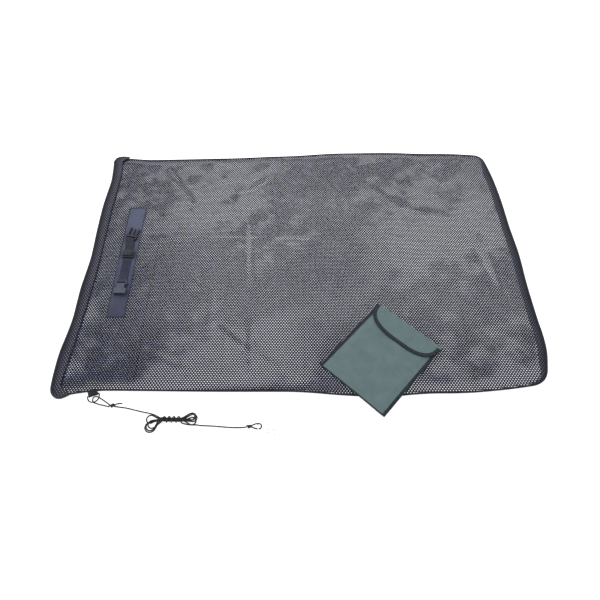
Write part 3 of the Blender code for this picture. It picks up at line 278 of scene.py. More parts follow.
def braidMaterial(name, dark, pale, pitch, strands):
    # Braid: the map's X runs along the cord in metres and Y once round it
    return wovenMaterial(name, "braid", dark, pale, ((1 / pitch, strands), (1 / pitch, -strands)))


def doubledNet(name, dark, pale, edgeFade):
    # Small pale holes in staggered rows, closing towards the outer edge (map Y = 0)
    finish, tree, shader = newMaterial(
        name, doubled["roughness"], sheen=doubled["sheen"], specular=doubled["specular"]
    )
    vector = coordinates(tree, "Object")
    place = addNode(tree, "SeparateXYZ", links={"Vector": vector})
    waves = [wave(tree, place, 1 / netPitch, way * 0.5 / netRowStep, "COSINE") for way in (1, -1)]
    holes = spread(tree, calc(tree, "ADD", *waves), *doubled["holeRange"])
    across = addNode(tree, "SeparateXYZ", links={"Vector": coordinates(tree, "UV")})
    fade = spread(tree, across.outputs["Y"], *edgeFade)
    shade(tree, shader, dark, pale, calc(tree, "MULTIPLY", holes, fade))
    bump(tree, shader, noise(tree, vector, doubled["fuzz"], 2.0), doubled["relief"], doubled["depth"])
    return finish


def hardMaterial(name, kind, dark, pale, roughness, specular=0.5):
    look = hardKinds[kind]
    finish, tree, shader = newMaterial(
        name, roughness, metallic=look["metallic"], coat=look["coat"], specular=specular
    )
    vector = coordinates(tree, "Object")
    wear = spread(tree, noise(tree, vector, *look["wear"]), *look["wearRange"])
    shade(tree, shader, dark, pale, wear)
    low, high = (roughness + change for change in look["rougher"])
    tree.links.new(between(tree, wear, low, high), shader.inputs["Roughness"])
    bump(tree, shader, noise(tree, vector, look["grain"], 3.0), look["relief"], 0.0001)
    return finish


netThread = clothMaterial(
    "netThread", (0.007, 0.009, 0.026), (0.015, 0.020, 0.056), 0.0004, 34.0, roughness=0.85, sheen=0.2
)
sideTape = clothMaterial("sideTape", (0.012, 0.012, 0.020), (0.026, 0.026, 0.040), 0.0008, 50.0)
hemTape = doubledNet("hemTape", (0.012, 0.012, 0.024), (0.300, 0.305, 0.350), (0.004, 0.018))
footTape = doubledNet("footTape", (0.010, 0.011, 0.022), (0.240, 0.250, 0.300), (0.003, 0.017))
edgeRope = braidMaterial("edgeRope", (0.008, 0.008, 0.012), (0.034, 0.034, 0.046), 0.0050, 2)
# Painted sheen: the patch grows paler towards its far end, from Y -0.200 to 0.110
patchCloth = clothMaterial(
    "patchCloth", (0.044, 0.048, 0.086), (0.112, 0.124, 0.196), 0.0007, 26.0, slope=(-0.200, 0.110)
)
strapWebbing = bandMaterial("strapWebbing", (0.009, 0.010, 0.030), (0.026, 0.029, 0.076), 0.0022, 0.0016)
darkWebbing = bandMaterial("darkWebbing", (0.010, 0.011, 0.020), (0.034, 0.037, 0.056), 0.0022, 0.0016)
tabWebbing = clothMaterial("tabWebbing", (0.006, 0.009, 0.009), (0.026, 0.033, 0.031), 0.0018, 90.0)
cordBraid = braidMaterial("cordBraid", (0.002, 0.002, 0.003), (0.012, 0.012, 0.016), 0.0042, 3)
threadNavy = braidMaterial("threadNavy", (0.020, 0.020, 0.038), (0.060, 0.060, 0.100), 0.0012, 1)
threadPale = braidMaterial("threadPale", (0.075, 0.085, 0.110), (0.150, 0.165, 0.210), 0.0012, 1)
pouchCloth = clothMaterial(
    "pouchCloth",
    (0.146, 0.212, 0.218),
    (0.170, 0.242, 0.250),
    0.0008,
    38.0,
    roughness=0.82,
    sheen=0.2,
    turn=-pouchTurn,
)
pouchTape = bandMaterial("pouchTape", (0.005, 0.011, 0.016), (0.018, 0.031, 0.040), 0.0018, 0.0013)
closureFuzz = clothMaterial("closureFuzz", (0.020, 0.024, 0.025), (0.055, 0.062, 0.063), 0.0012, 300.0)
sliderPlastic = hardMaterial(
    "sliderPlastic", "plastic", (0.008, 0.009, 0.014), (0.018, 0.020, 0.028), 0.40, 0.2
)
malePlastic = hardMaterial(
    "malePlastic", "plastic", (0.006, 0.007, 0.011), (0.015, 0.017, 0.024), 0.36, 0.2
)
# Painted reflection: the female half is the same black plastic as the male half; its paler, bluer colours
# stand in for the sky its broad top reflects
femalePlasticPaintedReflection = hardMaterial(
    "femalePlasticPaintedReflection", "plastic", (0.048, 0.056, 0.088), (0.076, 0.086, 0.128), 0.46, 0.25
)
ringSteel = hardMaterial("ringSteel", "metal", (0.020, 0.020, 0.022), (0.055, 0.055, 0.060), 0.38)
clipChrome = hardMaterial("clipChrome", "metal", (0.760, 0.770, 0.790), (0.930, 0.935, 0.945), 0.16)
springSteel = hardMaterial("springSteel", "metal", (0.360, 0.360, 0.370), (0.540, 0.540, 0.550), 0.28)


# Camera, floor and light

def clearSelection():
    if bpy.context.object and bpy.context.object.mode != "OBJECT":
        bpy.ops.object.mode_set(mode="OBJECT")
    bpy.ops.object.select_all(action="DESELECT")


def onlySelected(piece):
    clearSelection()
    piece.select_set(True)
    bpy.context.view_layer.objects.active = piece


def newObject(name, data):
    item = bpy.data.objects.new(name, data)
    bpy.context.scene.collection.objects.link(item)
    return item


def placeCamera():
    camera = bpy.data.cameras.new("viewCamera")
    camera.sensor_width = view["sensor"]
    camera.sensor_fit = "HORIZONTAL"
    camera.lens = view["lens"]
    camera.clip_start = view["nearest"]
    camera.clip_end = view["farthest"]
    viewer = newObject("viewCamera", camera)
    viewer.location = view["place"]
    viewer.rotation_euler = (math.radians(view["tiltDegrees"]), 0, 0)
    bpy.context.scene.camera = viewer
    bpy.context.scene.view_settings.view_transform = "Standard"


def straightRay(tree):
    # 1 for rays that come from the lens, a mirror or glass, 0 for the rays that light the object
    path = addNode(tree, "LightPath")
    seen = calc(tree, "MAXIMUM", path.outputs["Is Camera Ray"], path.outputs["Is Glossy Ray"])
    return calc(tree, "MAXIMUM", seen, path.outputs["Is Transmission Ray"])


def makeStage():
    clearSelection()
    bpy.ops.mesh.primitive_plane_add(size=light["floorSize"], location=(0, 0, -light["floorDrop"]))
    floor = bpy.context.object
    floor.name = "paleFloor"
    bpy.ops.object.transform_apply(location=True)
    finish, tree, shader = newMaterial("paleFloor", light["floorRoughness"], specular=light["floorSpecular"])
    white = light["floorWhite"]
    shader.inputs["Base Color"].default_value = (white, white, white, 1)
    shader.inputs["Emission Color"].default_value = (1, 1, 1, 1)
    glow = calc(tree, "MULTIPLY", straightRay(tree), light["floorGlow"])
    tree.links.new(glow, shader.inputs["Emission Strength"])
    floor.data.materials.append(finish)

    world = bpy.data.worlds.new("softSky")
    bpy.context.scene.world = world
    world.use_nodes = True
    tree = world.node_tree
    sky = tree.nodes["Background"]
    sky.inputs["Color"].default_value = light["skyColour"]
    strength = between(tree, straightRay(tree), light["skyStrength"], light["backdropStrength"])
    tree.links.new(strength, sky.inputs["Strength"])

    lamp = bpy.data.lights.new("softKey", "AREA")
    lamp.shape = "SQUARE"
    lamp.size = light["keySize"]
    lamp.energy = light["keyPower"]
    key = newObject("softKey", lamp)
    key.location = light["keyPlace"]
    key.rotation_euler = (-Vector(light["keyPlace"])).to_track_quat("-Z", "Y").to_euler()


placeCamera()
makeStage()
print("camera and stage ready")


# Shared ways of making lines, tubes, bands and stitches

curveSteps = 24  # steps of a smooth curve between two of its points


def walkedAlong(path):
    # How far along a line each of its points lies
    return np.concatenate([[0], np.cumsum(np.linalg.norm(np.diff(path, axis=0), axis=1))])


def pointsAt(wanted, walked, path):
    return np.stack([np.interp(wanted, walked, path[:, axis]) for axis in range(path.shape[1])], axis=1)


def smoothLine(points, spacing, closed=False):
    # Evenly spaced points on a smooth curve through the given ones
    points = np.array([tuple(point) for point in points], float)
    count = len(points)
    if closed:
        rows = [points[(np.arange(count) + shift) % count] for shift in (-1, 0, 1, 2)]
    else:
        padded = np.vstack([2 * points[0] - points[1], points, 2 * points[-1] - points[-2]])
        rows = [padded[shift : shift + count - 1] for shift in range(4)]
    before, start, end, after = rows
    fine = []
    for step in np.arange(0, 1, 1 / curveSteps):
        part = 2 * start + (end - before) * step
        part = part + (2 * before - 5 * start + 4 * end - after) * step**2
        part = part + (3 * start - before - 3 * end + after) * step**3
        fine.append(part * 0.5)
    line = np.stack(fine, axis=1).reshape(-1, points.shape[1])
    line = np.vstack([line, line[:1] if closed else points[-1:]])
    walked = walkedAlong(line)
    number = max(2, int(round(walked[-1] / spacing)))
    line = pointsAt(np.linspace(0, walked[-1], number + 1), walked, line)
    return line[:-1] if closed else line


def lineLength(points):
    return float(np.linalg.norm(np.diff(np.asarray(points), axis=0), axis=1).sum())


def meshPiece(name, corners, faces, finish, maps=None, sharpAngle=None):
    mesh = bpy.data.meshes.new(name)
    mesh.from_pydata([tuple(corner) for corner in corners], [], [tuple(face) for face in faces])
    if maps is not None:
        layer = mesh.uv_layers.new(name="along")
        order = np.zeros(len(mesh.loops), int)
        mesh.loops.foreach_get("vertex_index", order)
        layer.data.foreach_set("uv", np.asarray(maps, float)[order].ravel())
    mesh.materials.append(finish)
    mesh.shade_smooth()
    if sharpAngle is not None:
        mesh.set_sharp_from_angle(angle=math.radians(sharpAngle))
    mesh.update()
    return newObject(name, mesh)


def headings(path):
    ahead = np.gradient(path, axis=0)
    return ahead / np.linalg.norm(ahead, axis=1)[:, None]


def carriedFrames(path):
    # Sideways and upward directions carried along a line without twist
    ahead = headings(path)
    side = np.cross(ahead[0], (0, 0, 1))
    if np.linalg.norm(side) < 0.1:
        side = np.cross(ahead[0], (0, 1, 0))
    sides = [side / np.linalg.norm(side)]
    for direction in ahead[1:]:
        side = sides[-1] - direction * np.dot(sides[-1], direction)
        sides.append(side / np.linalg.norm(side))
    sides = np.array(sides)
    return sides, np.cross(sides, ahead)


def levelFrames(path):
    # Sideways direction kept level, for bands that lie flat
    ahead = headings(path)
    sides = np.cross(ahead, (0, 0, 1))
    sides /= np.linalg.norm(sides, axis=1)[:, None]
    return sides, np.cross(sides, ahead)


def sweptParts(path, sections, frames):
    # Corners, faces and map of a closed section carried along a line; sections may change along it
    sides, ups = frames
    rings, size = len(path), sections.shape[-2]
    sections = np.broadcast_to(sections, (rings, size, 2))
    corners = path[:, None, :] + sides[:, None, :] * sections[..., :1] + ups[:, None, :] * sections[..., 1:]
    faces = []
    for here in range(0, (rings - 1) * size, size):
        there = here + size
        for index in range(size):
            following = (index + 1) % size
            faces.append((here + index, there + index, there + following, here + following))
    faces.append(tuple(range(size)))
    faces.append(tuple(reversed(range((rings - 1) * size, rings * size))))
    around = np.arange(size) / size
    maps = np.stack(np.meshgrid(walkedAlong(path), around, indexing="ij"), axis=-1).reshape(-1, 2)
    return corners.reshape(-1, 3), faces, maps


def roundSection(radius, sides):
    angles = 2 * math.pi * np.arange(sides) / sides
    return np.stack([np.cos(angles), np.sin(angles)], axis=1) * radius


def tube(name, path, radius, finish, sides=12, taper=0):
    # taper: over how many points each end closes in
    path = np.asarray(path, float)
    scale = np.ones(len(path))
    if taper:
        ease = np.sin(np.linspace(0.35, 1, taper) * math.pi / 2)
        scale[:taper] = ease
        scale[-taper:] = ease[::-1]
    sections = roundSection(radius, sides)[None] * scale[:, None, None]
    corners, faces, maps = sweptParts(path, sections, carriedFrames(path))
    return meshPiece(name, corners, faces, finish, maps)


def joined(name, pieces):
    # Pieces made one object
    onlySelected(pieces[0])
    for piece in pieces[1:]:
        piece.select_set(True)
    bpy.ops.object.join()
    pieces[0].name = name
    return pieces[0]


def stitchRow(name, path, finish, pitch=0.0045, share=0.62, radius=0.00032, lift=0.0002, sides=5):
    # A row of small arched stitches along a line
    path = np.asarray(path, float)
    walked = walkedAlong(path)
    steps = np.linspace(0, 1, 5)
    size = np.array([0.45, 0.95, 1.0, 0.95, 0.45])[:, None, None]
    section = roundSection(radius, sides)[None] * size
    corners, faces, maps = [], [], []
    start = 0
    for begin in np.arange(pitch * 0.4, walked[-1] - pitch * share, pitch):
        line = pointsAt(begin + steps * pitch * share, walked, path)
        line[:, 2] += np.sin(steps * math.pi) * lift * 1.6 - lift * 0.6
        parts = sweptParts(line, section, levelFrames(line))
        corners.append(parts[0])
        faces += [tuple(index + start for index in face) for face in parts[1]]
        maps.append(parts[2])
        start += len(parts[0])
    return meshPiece(name, np.vstack(corners), faces, finish, np.vstack(maps))


def zigzagRow(name, path, finish, pitch=0.0030, reach=0.0020, radius=0.00030, lift=0.0003):
    # One thread sewn from side to side of a line
    path = np.asarray(path, float)
    walked = walkedAlong(path)
    line = pointsAt(np.arange(0, walked[-1], pitch / 2), walked, path)
    sides, _ = levelFrames(line)
    way = np.where(np.arange(len(line)) % 2 == 0, 1.0, -1.0)[:, None]
    corners = line + sides * way * reach
    thread = np.empty((2 * len(corners) - 1, 3))
    thread[0::2] = corners
    thread[1::2] = (corners[:-1] + corners[1:]) / 2 + (0, 0, lift)
    return tube(name, thread, radius, finish, 5)


def rideAndReplace(piece, body, *replaced, slot=None):
    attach(piece, body)
    if replaced:
        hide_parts(*replaced)
    return piece


# Cords: the routes are the construction's own, in metres

cord = {
    "radius": 0.0016,
    "step": 0.0011,
    "sides": 12,
    "floorGap": 0.0002,
    "relaxPasses": 14,
    "keptEnds": 6,
}

ringLoopRoute = (
    (-0.4602, -0.4444, 0.0032),
    (-0.4660, -0.4428, 0.0022),
    (-0.4760, -0.4402, 0.0018),
    (-0.4860, -0.4380, 0.0018),
    (-0.4950, -0.4350, 0.0018),
    (-0.4987, -0.4337, 0.0022),
    (-0.5013, -0.4308, 0.0034),
    (-0.5019, -0.4273, 0.0051),
    (-0.5005, -0.4239, 0.0068),
    (-0.4974, -0.4217, 0.0080),
    (-0.4935, -0.4212, 0.0084),
    (-0.4878, -0.4228, 0.0080),
    (-0.4810, -0.4262, 0.0060),
    (-0.4740, -0.4303, 0.0038),
    (-0.4670, -0.4345, 0.0026),
    (-0.4605, -0.4394, 0.0034),
)
knotTailRoute = (
    (-0.4510, -0.4408, 0.0045),
    (-0.4470, -0.4395, 0.0040),
    (-0.4421, -0.4368, 0.0028),
    (-0.4370, -0.4356, 0.0020),
    (-0.4310, -0.4358, 0.0018),
)
leadInRoute = (
    (-0.4494, -0.4433, 0.0033),
    (-0.4430, -0.4440, 0.0019),
    (-0.4349, -0.4450, 0.0018),
    (-0.4228, -0.4466, 0.0018),
    (-0.4105, -0.4492, 0.0018),
    (-0.3985, -0.4523, 0.0018),
    (-0.3861, -0.4553, 0.0020),
    (-0.3739, -0.4583, 0.0030),
    (-0.3630, -0.4609, 0.0042),
    (-0.3500, -0.4650, 0.0050),
)
leadOutRoute = (
    (-0.2700, -0.4872, 0.0018),
    (-0.2600, -0.4882, 0.0024),
    (-0.2510, -0.4886, 0.0042),
    (-0.2420, -0.4894, 0.0024),
    (-0.2332, -0.4897, 0.0018),
    (-0.2208, -0.4903, 0.0018),
    (-0.2078, -0.4910, 0.0018),
    (-0.1900, -0.4926, 0.0018),
    (-0.1731, -0.4938, 0.0018),
    (-0.1600, -0.4942, 0.0018),
    (-0.1501, -0.4942, 0.0020),
    (-0.1410, -0.4938, 0.0024),
    (-0.1345, -0.4928, 0.0032),
)
clipLoopRoute = (
    (-0.1226, -0.4938, 0.0034),
    (-0.1180, -0.4952, 0.0020),
    (-0.1120, -0.4969, 0.0018),
    (-0.1065, -0.4972, 0.0018),
    (-0.1035, -0.4965, 0.0022),
    (-0.1013, -0.4947, 0.0035),
    (-0.1005, -0.4922, 0.0051),
    (-0.1013, -0.4897, 0.0067),
    (-0.1035, -0.4879, 0.0080),
    (-0.1065, -0.4872, 0.0084),
    (-0.1125, -0.4873, 0.0081),
    (-0.1180, -0.4884, 0.0064),
    (-0.1227, -0.4900, 0.0046),
)
# Each knot's middle, its size over all and its turn
ringKnotForm = ((-0.4536, -0.4417, 0.0041), (0.0156, 0.0100, 0.0078), 0.2)
clipKnotForm = ((-0.1288, -0.4922, 0.0041), (0.0150, 0.0096, 0.0078), -0.1)

# The hank: its runs lie in the waist in rows, and turn in a lobe at each end; a wrap holds the waist
hank = {
    "waistLeft": -0.3340,
    "waistRight": -0.2850,
    "waistMiddle": -0.4762,
    "waistPoints": 5,
    "lobePoints": 9,
    "wrapPoints": 45,
    "wrapHeight": 0.0084,
    "wrapShift": 0.0007,
    "wrapAcross": 0.0070,
    "wrapUp": 0.0063,
    "wrapTurns": 3.6528,
    "wrapBegins": 215,
    "wrapStart": -0.3290,
    "wrapEnd": -0.2890,
    "leavingRadius": 0.0080,
    "leavingHeight": 0.0019,
    "leavingAngles": (25, 50, 75),
}
# Each run's place across the waist and its height
waistPlaces = (
    (0.0032, 0.0050),
    (0.0016, 0.0078),
    (0.0000, 0.0050),
    (-0.0032, 0.0050),
    (-0.0046, 0.0078),
    (-0.0015, 0.0078),
    (0.0012, 0.0106),
    (-0.0020, 0.0106),
)
# Each lobe: its middle, its radius, its height, and the angles it starts and ends at
rightLobes = (
    ((-0.2628, -0.4676), 0.0088, 0.0018, 125, -125),
    ((-0.2598, -0.4722), 0.0092, 0.0046, 115, -120),
    ((-0.2612, -0.4800), 0.0092, 0.0048, 105, -130),
    ((-0.2640, -0.4706), 0.0088, 0.0078, 120, -115),
)
leftLobes = (
    ((-0.3588, -0.4744), 0.0098, 0.0018, -78, -282),
    ((-0.3570, -0.4934), 0.0124, 0.0018, 100, 322),
    ((-0.3560, -0.4925), 0.0102, 0.0044, 95, 322),
    ((-0.3520, -0.4885), 0.0096, 0.0074, 100, 292),
)


def lobePoints(lobe):
    middle, radius, height, start, end = lobe
    angles = np.radians(np.linspace(start, end, hank["lobePoints"]))
    return [
        (middle[0] + radius * math.cos(angle), middle[1] + radius * math.sin(angle), height)
        for angle in angles
    ]


def waistPoints(run):
    across, height = waistPlaces[run]
    ends = np.linspace(hank["waistLeft"], hank["waistRight"], hank["waistPoints"])
    points = [(x, hank["waistMiddle"] + across, height) for x in ends]
    return points[::-1] if run % 2 else points


def wrapPoints():
    # Helix round the waist, from its left end to its right end
    points = []
    for share in np.arange(hank["wrapPoints"]) / (hank["wrapPoints"] - 1):
        angle = math.radians(hank["wrapBegins"]) + 2 * math.pi * hank["wrapTurns"] * share
        along = hank["wrapStart"] + (hank["wrapEnd"] - hank["wrapStart"]) * share
        across = hank["waistMiddle"] - hank["wrapShift"] + hank["wrapAcross"] * math.cos(angle)
        points.append((along, across, hank["wrapHeight"] - hank["wrapUp"] * math.sin(angle)))
    return points


def mainCordRoute():
    route = list(leadInRoute)
    for run, (rightLobe, leftLobe) in enumerate(zip(rightLobes, leftLobes)):
        route += waistPoints(2 * run) + lobePoints(rightLobe)
        route += waistPoints(2 * run + 1) + lobePoints(leftLobe)
    route += wrapPoints()
    x, y, _ = route[-1]
    radius = hank["leavingRadius"]
    for angle in np.radians(hank["leavingAngles"]):
        place = (x + radius * (1 - math.cos(angle)), y - radius * math.sin(angle), hank["leavingHeight"])
        route.append(place)
    return route + list(leadOutRoute)


def relaxed(points):
    # Softens the corners of a line while its two ends stay
    points = points.copy()
    keep = cord["keptEnds"]
    for _ in range(cord["relaxPasses"]):
        middle = (points[:-2] + points[2:]) / 2
        inner = points[1:-1] * 0.5 + middle * 0.5
        inner[:keep] = points[1 : keep + 1]
        inner[-keep:] = points[-keep - 1 : -1]
        points[1:-1] = inner
    return points


def cordTube(name, line, radius=cord["radius"], taper=0):
    return tube(name, line, radius, cordBraid, cord["sides"], taper)


def knotPart(name, place, size, turn):
    # An overhand knot pulled tight, inside the given size
    angles = np.linspace(0, 2 * math.pi, 97)[:-1]
    reach = [(size[axis] / 2 - cord["radius"]) for axis in range(3)]
    across = (np.sin(angles) + 2 * np.sin(2 * angles)) / 3 * reach[0]
    along = (np.cos(angles) - 2 * np.cos(2 * angles)) / 3 * reach[1]
    upward = -np.sin(3 * angles) * reach[2]
    line = np.stack([across, along, upward], axis=1) @ np.array(Matrix.Rotation(-turn, 3, "Z"))
    line = np.vstack([line, line[:1]]) + place
    return cordTube(name, line, cord["radius"] * 0.98)


def makeCords():
    route = smoothLine(mainCordRoute(), cord["step"])
    route = smoothLine(relaxed(route), cord["step"])
    route[:, 2] = np.maximum(route[:, 2], cord["radius"] + cord["floorGap"])
    mainCord = cordTube("retainingCord", route)
    rideAndReplace(mainCord, "sack", "cord_lead_in", "cord_hank", "cord_lead_out", slot="cord")

    ringLine = smoothLine(ringLoopRoute, cord["step"])
    ringLoop = cordTube("ringTieLoop", ringLine)
    rideAndReplace(ringLoop, "sack", "ring_tie_loop", slot="cord")
    turns = knotPart("ringKnotTurns", *ringKnotForm)
    tail = cordTube("knotTail", smoothLine(knotTailRoute, cord["step"]), taper=3)
    ringKnot = joined("ringKnot", [turns, tail])
    rideAndReplace(ringKnot, "sack", "ring_knot", slot="cord")

    clipKnot = knotPart("clipKnot", *clipKnotForm)
    rideAndReplace(clipKnot, "sack", "clip_knot", slot="cord")
    clipLine = smoothLine(clipLoopRoute, cord["step"])
    clipLoop = cordTube("clipTieLoop", clipLine)
    rideAndReplace(clipLoop, "sack", "clip_tie_loop", slot="cord")

    print("cords laid:", round(lineLength(route), 3), "m")


makeCords()


# The sack's outline, read from the top panel, and the lie of the two net layers

net = {
    "thread": 0.0006,
    "edgeInset": 0.0022,
    "span": 0.47,
    "overlap": 0.01,
    "topInside": 0.0089,
    "topAtEdge": 0.0054,
    "pressedHeight": 0.0091,
    "bottomInside": 0.0007,
    "bottomAtEdge": 0.0020,
    "topSlope": 0.034,
    "bottomSlope": 0.020,
    "driftSeed": 21,
    "driftSize": 0.42,
    "closerNear": 0.20,
    "nearZone": (0.16, 0.36),
    "closerMouth": 0.14,
    "mouthZone": (0.28, 0.52),
    "fadeWaves": (31.0, 23.0),
    "fadeShares": (0.55, 0.45),
    "besideShare": 0.35,
    "besideReach": 2.2,
    "topRolls": ((5, 0.11, 0.0008), (6, 0.035, 0.0004)),
    "bottomRoll": (8, 0.09, 0.0007),
}
# Each layer: how many parts it has, its turn, how far its threads drift, the share of it that is open,
# the share of the flat sheet that its cloth takes, and what it lies on
layers = {
    "top": {
        "parts": 6,
        "turn": 0.0,
        "drift": 0.0010,
        "open": 0.30,
        "clothShare": 0.80,
        "restsOn": ["bottomNet1", "bottomNet2"],
    },
    "bottom": {
        "parts": 2,
        "turn": math.radians(0.35),
        "drift": 0.0007,
        "open": 0.765,
        "clothShare": 0.305,
        "restsOn": ["mouth_hem_bottom"],
    },
}

# Creases: the points each runs through, its height and its half width
creases = (
    (((-0.163, 0.123), (-0.152, -0.060), (-0.138, -0.362)), 0.0026, 0.0060),
    (((-0.447, 0.060), (-0.220, 0.063), (0.008, 0.060)), 0.0018, 0.0065),
    (((-0.193, 0.230), (-0.120, 0.280), (-0.044, 0.340)), 0.0030, 0.0070),
    (((0.446, 0.135), (0.500, -0.010), (0.524, -0.192)), 0.0024, 0.0090),
    (((-0.216, -0.234), (-0.119, -0.308), (0.004, -0.380)), 0.0026, 0.0080),
    (((0.060, 0.100), (0.109, 0.046), (0.170, 0.020)), 0.0022, 0.0070),
    (((-0.430, -0.300), (-0.300, -0.345), (-0.160, -0.352)), 0.0016, 0.0080),
    (((0.180, 0.280), (0.300, 0.180), (0.420, 0.150)), 0.0018, 0.0110),
    (((-0.420, 0.330), (-0.330, 0.200), (-0.300, 0.120)), 0.0020, 0.0090),
    (((0.000, 0.330), (0.090, 0.240), (0.110, 0.130)), 0.0016, 0.0090),
    (((-0.330, -0.020), (-0.260, -0.130), (-0.250, -0.220)), 0.0018, 0.0080),
)
pouchFrame = {"place": (0.1088, -0.4064), "width": 0.197, "height": 0.235}
pouchAcross = Vector((math.cos(pouchTurn), math.sin(pouchTurn)))
pouchAlong = Vector((-math.sin(pouchTurn), math.cos(pouchTurn)))


def readOutline():
    # Corners of the top panel's rim in order, from the edges that only one of its upper faces has
    mesh = nodes["top_net_panel"].data
    edges = set()
    for face in mesh.polygons:
        if face.normal.z > 0.9:
            places = [mesh.vertices[index].co[:2] for index in face.vertices]
            corners = [tuple(round(value, 5) for value in place) for place in places]
            edges.update(zip(corners, corners[1:] + corners[:1]))
    following = {start: end for start, end in edges if (end, start) not in edges}
    rim = [max(following)]
    while following[rim[-1]] != rim[0]:
        rim.append(following[rim[-1]])
    return np.array(rim)


panelOutline = readOutline()
edgeLine = smoothLine(panelOutline, 0.003, closed=True)
edgeAngles = np.arctan2(edgeLine[:, 1], edgeLine[:, 0])
edgeLine = edgeLine[np.argsort(edgeAngles)]
edgeAngles = np.sort(edgeAngles)
edgeReach = np.linalg.norm(edgeLine, axis=1)


def smoothStep(values, low, high):
    share = np.clip((values - low) / (high - low), 0, 1)
    return share * share * (3 - 2 * share)


def lineDistance(points, line):
    # How far each point is from a line of straight stretches
    line = np.asarray(line, float)[:, :2]
    nearest = np.full(len(points), np.inf)
    for start, end in zip(line, line[1:]):
        way = end - start
        share = np.clip((points - start) @ way / (way @ way), 0, 1)
        gap = np.linalg.norm(points - start - share[:, None] * way, axis=1)
        nearest = np.minimum(nearest, gap)
    return nearest


def reachAt(points):
    angles = np.arctan2(points[:, 1], points[:, 0])
    return np.interp(angles, edgeAngles, edgeReach, period=2 * math.pi)


def edgeDistance(points):
    # How far each point lies inside the outline; less than 0 outside it
    ring = np.vstack([edgeLine[::4], edgeLine[:1]])
    inside = np.linalg.norm(points, axis=1) < reachAt(points)
    return np.where(inside, 1, -1) * lineDistance(points, ring)


def boxDistance(points, middle, turn, size):
    # How far each point is outside a turned rectangle
    across, along = math.cos(turn), math.sin(turn)
    turned = (points - middle) @ np.array([[across, -along], [along, across]])
    return np.linalg.norm(np.maximum(np.abs(turned) - size / 2, 0), axis=1)


def pressed(points):
    # 1 under the pouch and the patch, where the net lies flat, and 0 away from them
    middle = np.array(pouchFrame["place"]) + np.array(pouchAlong) * pouchFrame["height"] / 2
    size = np.array((pouchFrame["width"], pouchFrame["height"]))
    underPouch = boxDistance(points, middle, pouchTurn, size)
    low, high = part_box("strap_patch")
    underPatch = boxDistance(points, np.array((low + high)[:2]) / 2, 0.0, np.array((high - low)[:2]))
    return 1 - smoothStep(np.minimum(underPouch, underPatch), 0.002, 0.022)


def rolling(points, seed, size, height):
    # Low waves in several directions
    draw = np.random.default_rng(seed)
    rise = np.zeros(len(points))
    for _ in range(7):
        heading = draw.uniform(0, 2 * math.pi)
        rate = 2 * math.pi / (size * draw.uniform(0.6, 1.7))
        rise += np.sin((points @ (math.cos(heading), math.sin(heading))) * rate + draw.uniform(0, 6.3))
    return rise * height / 2.6


def topHeight(points):
    rise = smoothStep(edgeDistance(points), 0.0, net["topSlope"])
    height = net["topAtEdge"] + (net["topInside"] - net["topAtEdge"]) * rise
    loose = sum(rolling(points, *roll) for roll in net["topRolls"])
    steady, changing = net["fadeShares"]
    fade = steady + changing * np.sin(points @ net["fadeWaves"])
    for line, ridge, width in creases:
        gap = lineDistance(points, smoothLine([(*point, 0) for point in line], 0.02))
        loose += ridge * fade * np.exp(-((gap / width) ** 2))
        beside = gap / width - net["besideReach"]
        loose -= net["besideShare"] * ridge * fade * np.exp(-(beside**2))
    flat = pressed(points)
    height = height + loose * rise * (1 - flat)
    held = np.minimum(height, net["pressedHeight"])
    return np.where(flat > 0, height * (1 - flat) + held * flat, height)


def bottomHeight(points):
    rise = smoothStep(edgeDistance(points), 0.0, net["bottomSlope"])
    height = net["bottomAtEdge"] + (net["bottomInside"] - net["bottomAtEdge"]) * rise
    return height + rise * np.maximum(rolling(points, *net["bottomRoll"]), 0)


def drawn(points, reach):
    # Threads pulled a little aside, so that the rows aren't quite straight
    moved = points.copy()
    for axis in (0, 1):
        moved[:, axis] += rolling(points, net["driftSeed"] + axis, net["driftSize"], reach)
    return moved


def strands(kept, staggered):
    # Faces between neighbouring holes: a quad for each shared side and a triangle where three holes meet
    columns, rows = kept.shape
    here = np.arange(columns * rows)
    flags = np.append(kept.ravel(), False)

    def beside(right, up):
        # Index of the hole in a neighbouring place, or -1 past the part's border
        column = here // rows + right + up * staggered.ravel()
        line = here % rows + up
        valid = (column >= 0) & (column < columns) & (line < rows)
        return np.where(valid, np.clip(column, 0, columns - 1) * rows + np.clip(line, 0, rows - 1), -1)

    east, northEast, northWest = beside(1, 0), beside(0, 1), beside(-1, 1)
    quads, triangles = [], []
    for other, pattern in (
        (east, ((0, 5), (1, 3), (1, 2), (0, 0))),
        (northEast, ((0, 0), (1, 4), (1, 3), (0, 1))),
        (northWest, ((0, 1), (1, 5), (1, 4), (0, 2))),
    ):
        wanted = (other >= 0) & (flags[here] | flags[other])
        pair = (here[wanted], other[wanted])
        quads.append(np.stack([pair[which] * 6 + corner for which, corner in pattern], axis=1))
    for second, third, pattern in (
        (east, northEast, (0, 2, 4)),
        (northEast, northWest, (1, 3, 5)),
    ):
        wanted = (second >= 0) & (third >= 0) & (flags[here] | flags[second] | flags[third])
        trio = (here[wanted], second[wanted], third[wanted])
        triangles.append(np.stack([hole * 6 + corner for hole, corner in zip(trio, pattern)], axis=1))
    return np.vstack(quads), np.vstack(triangles)


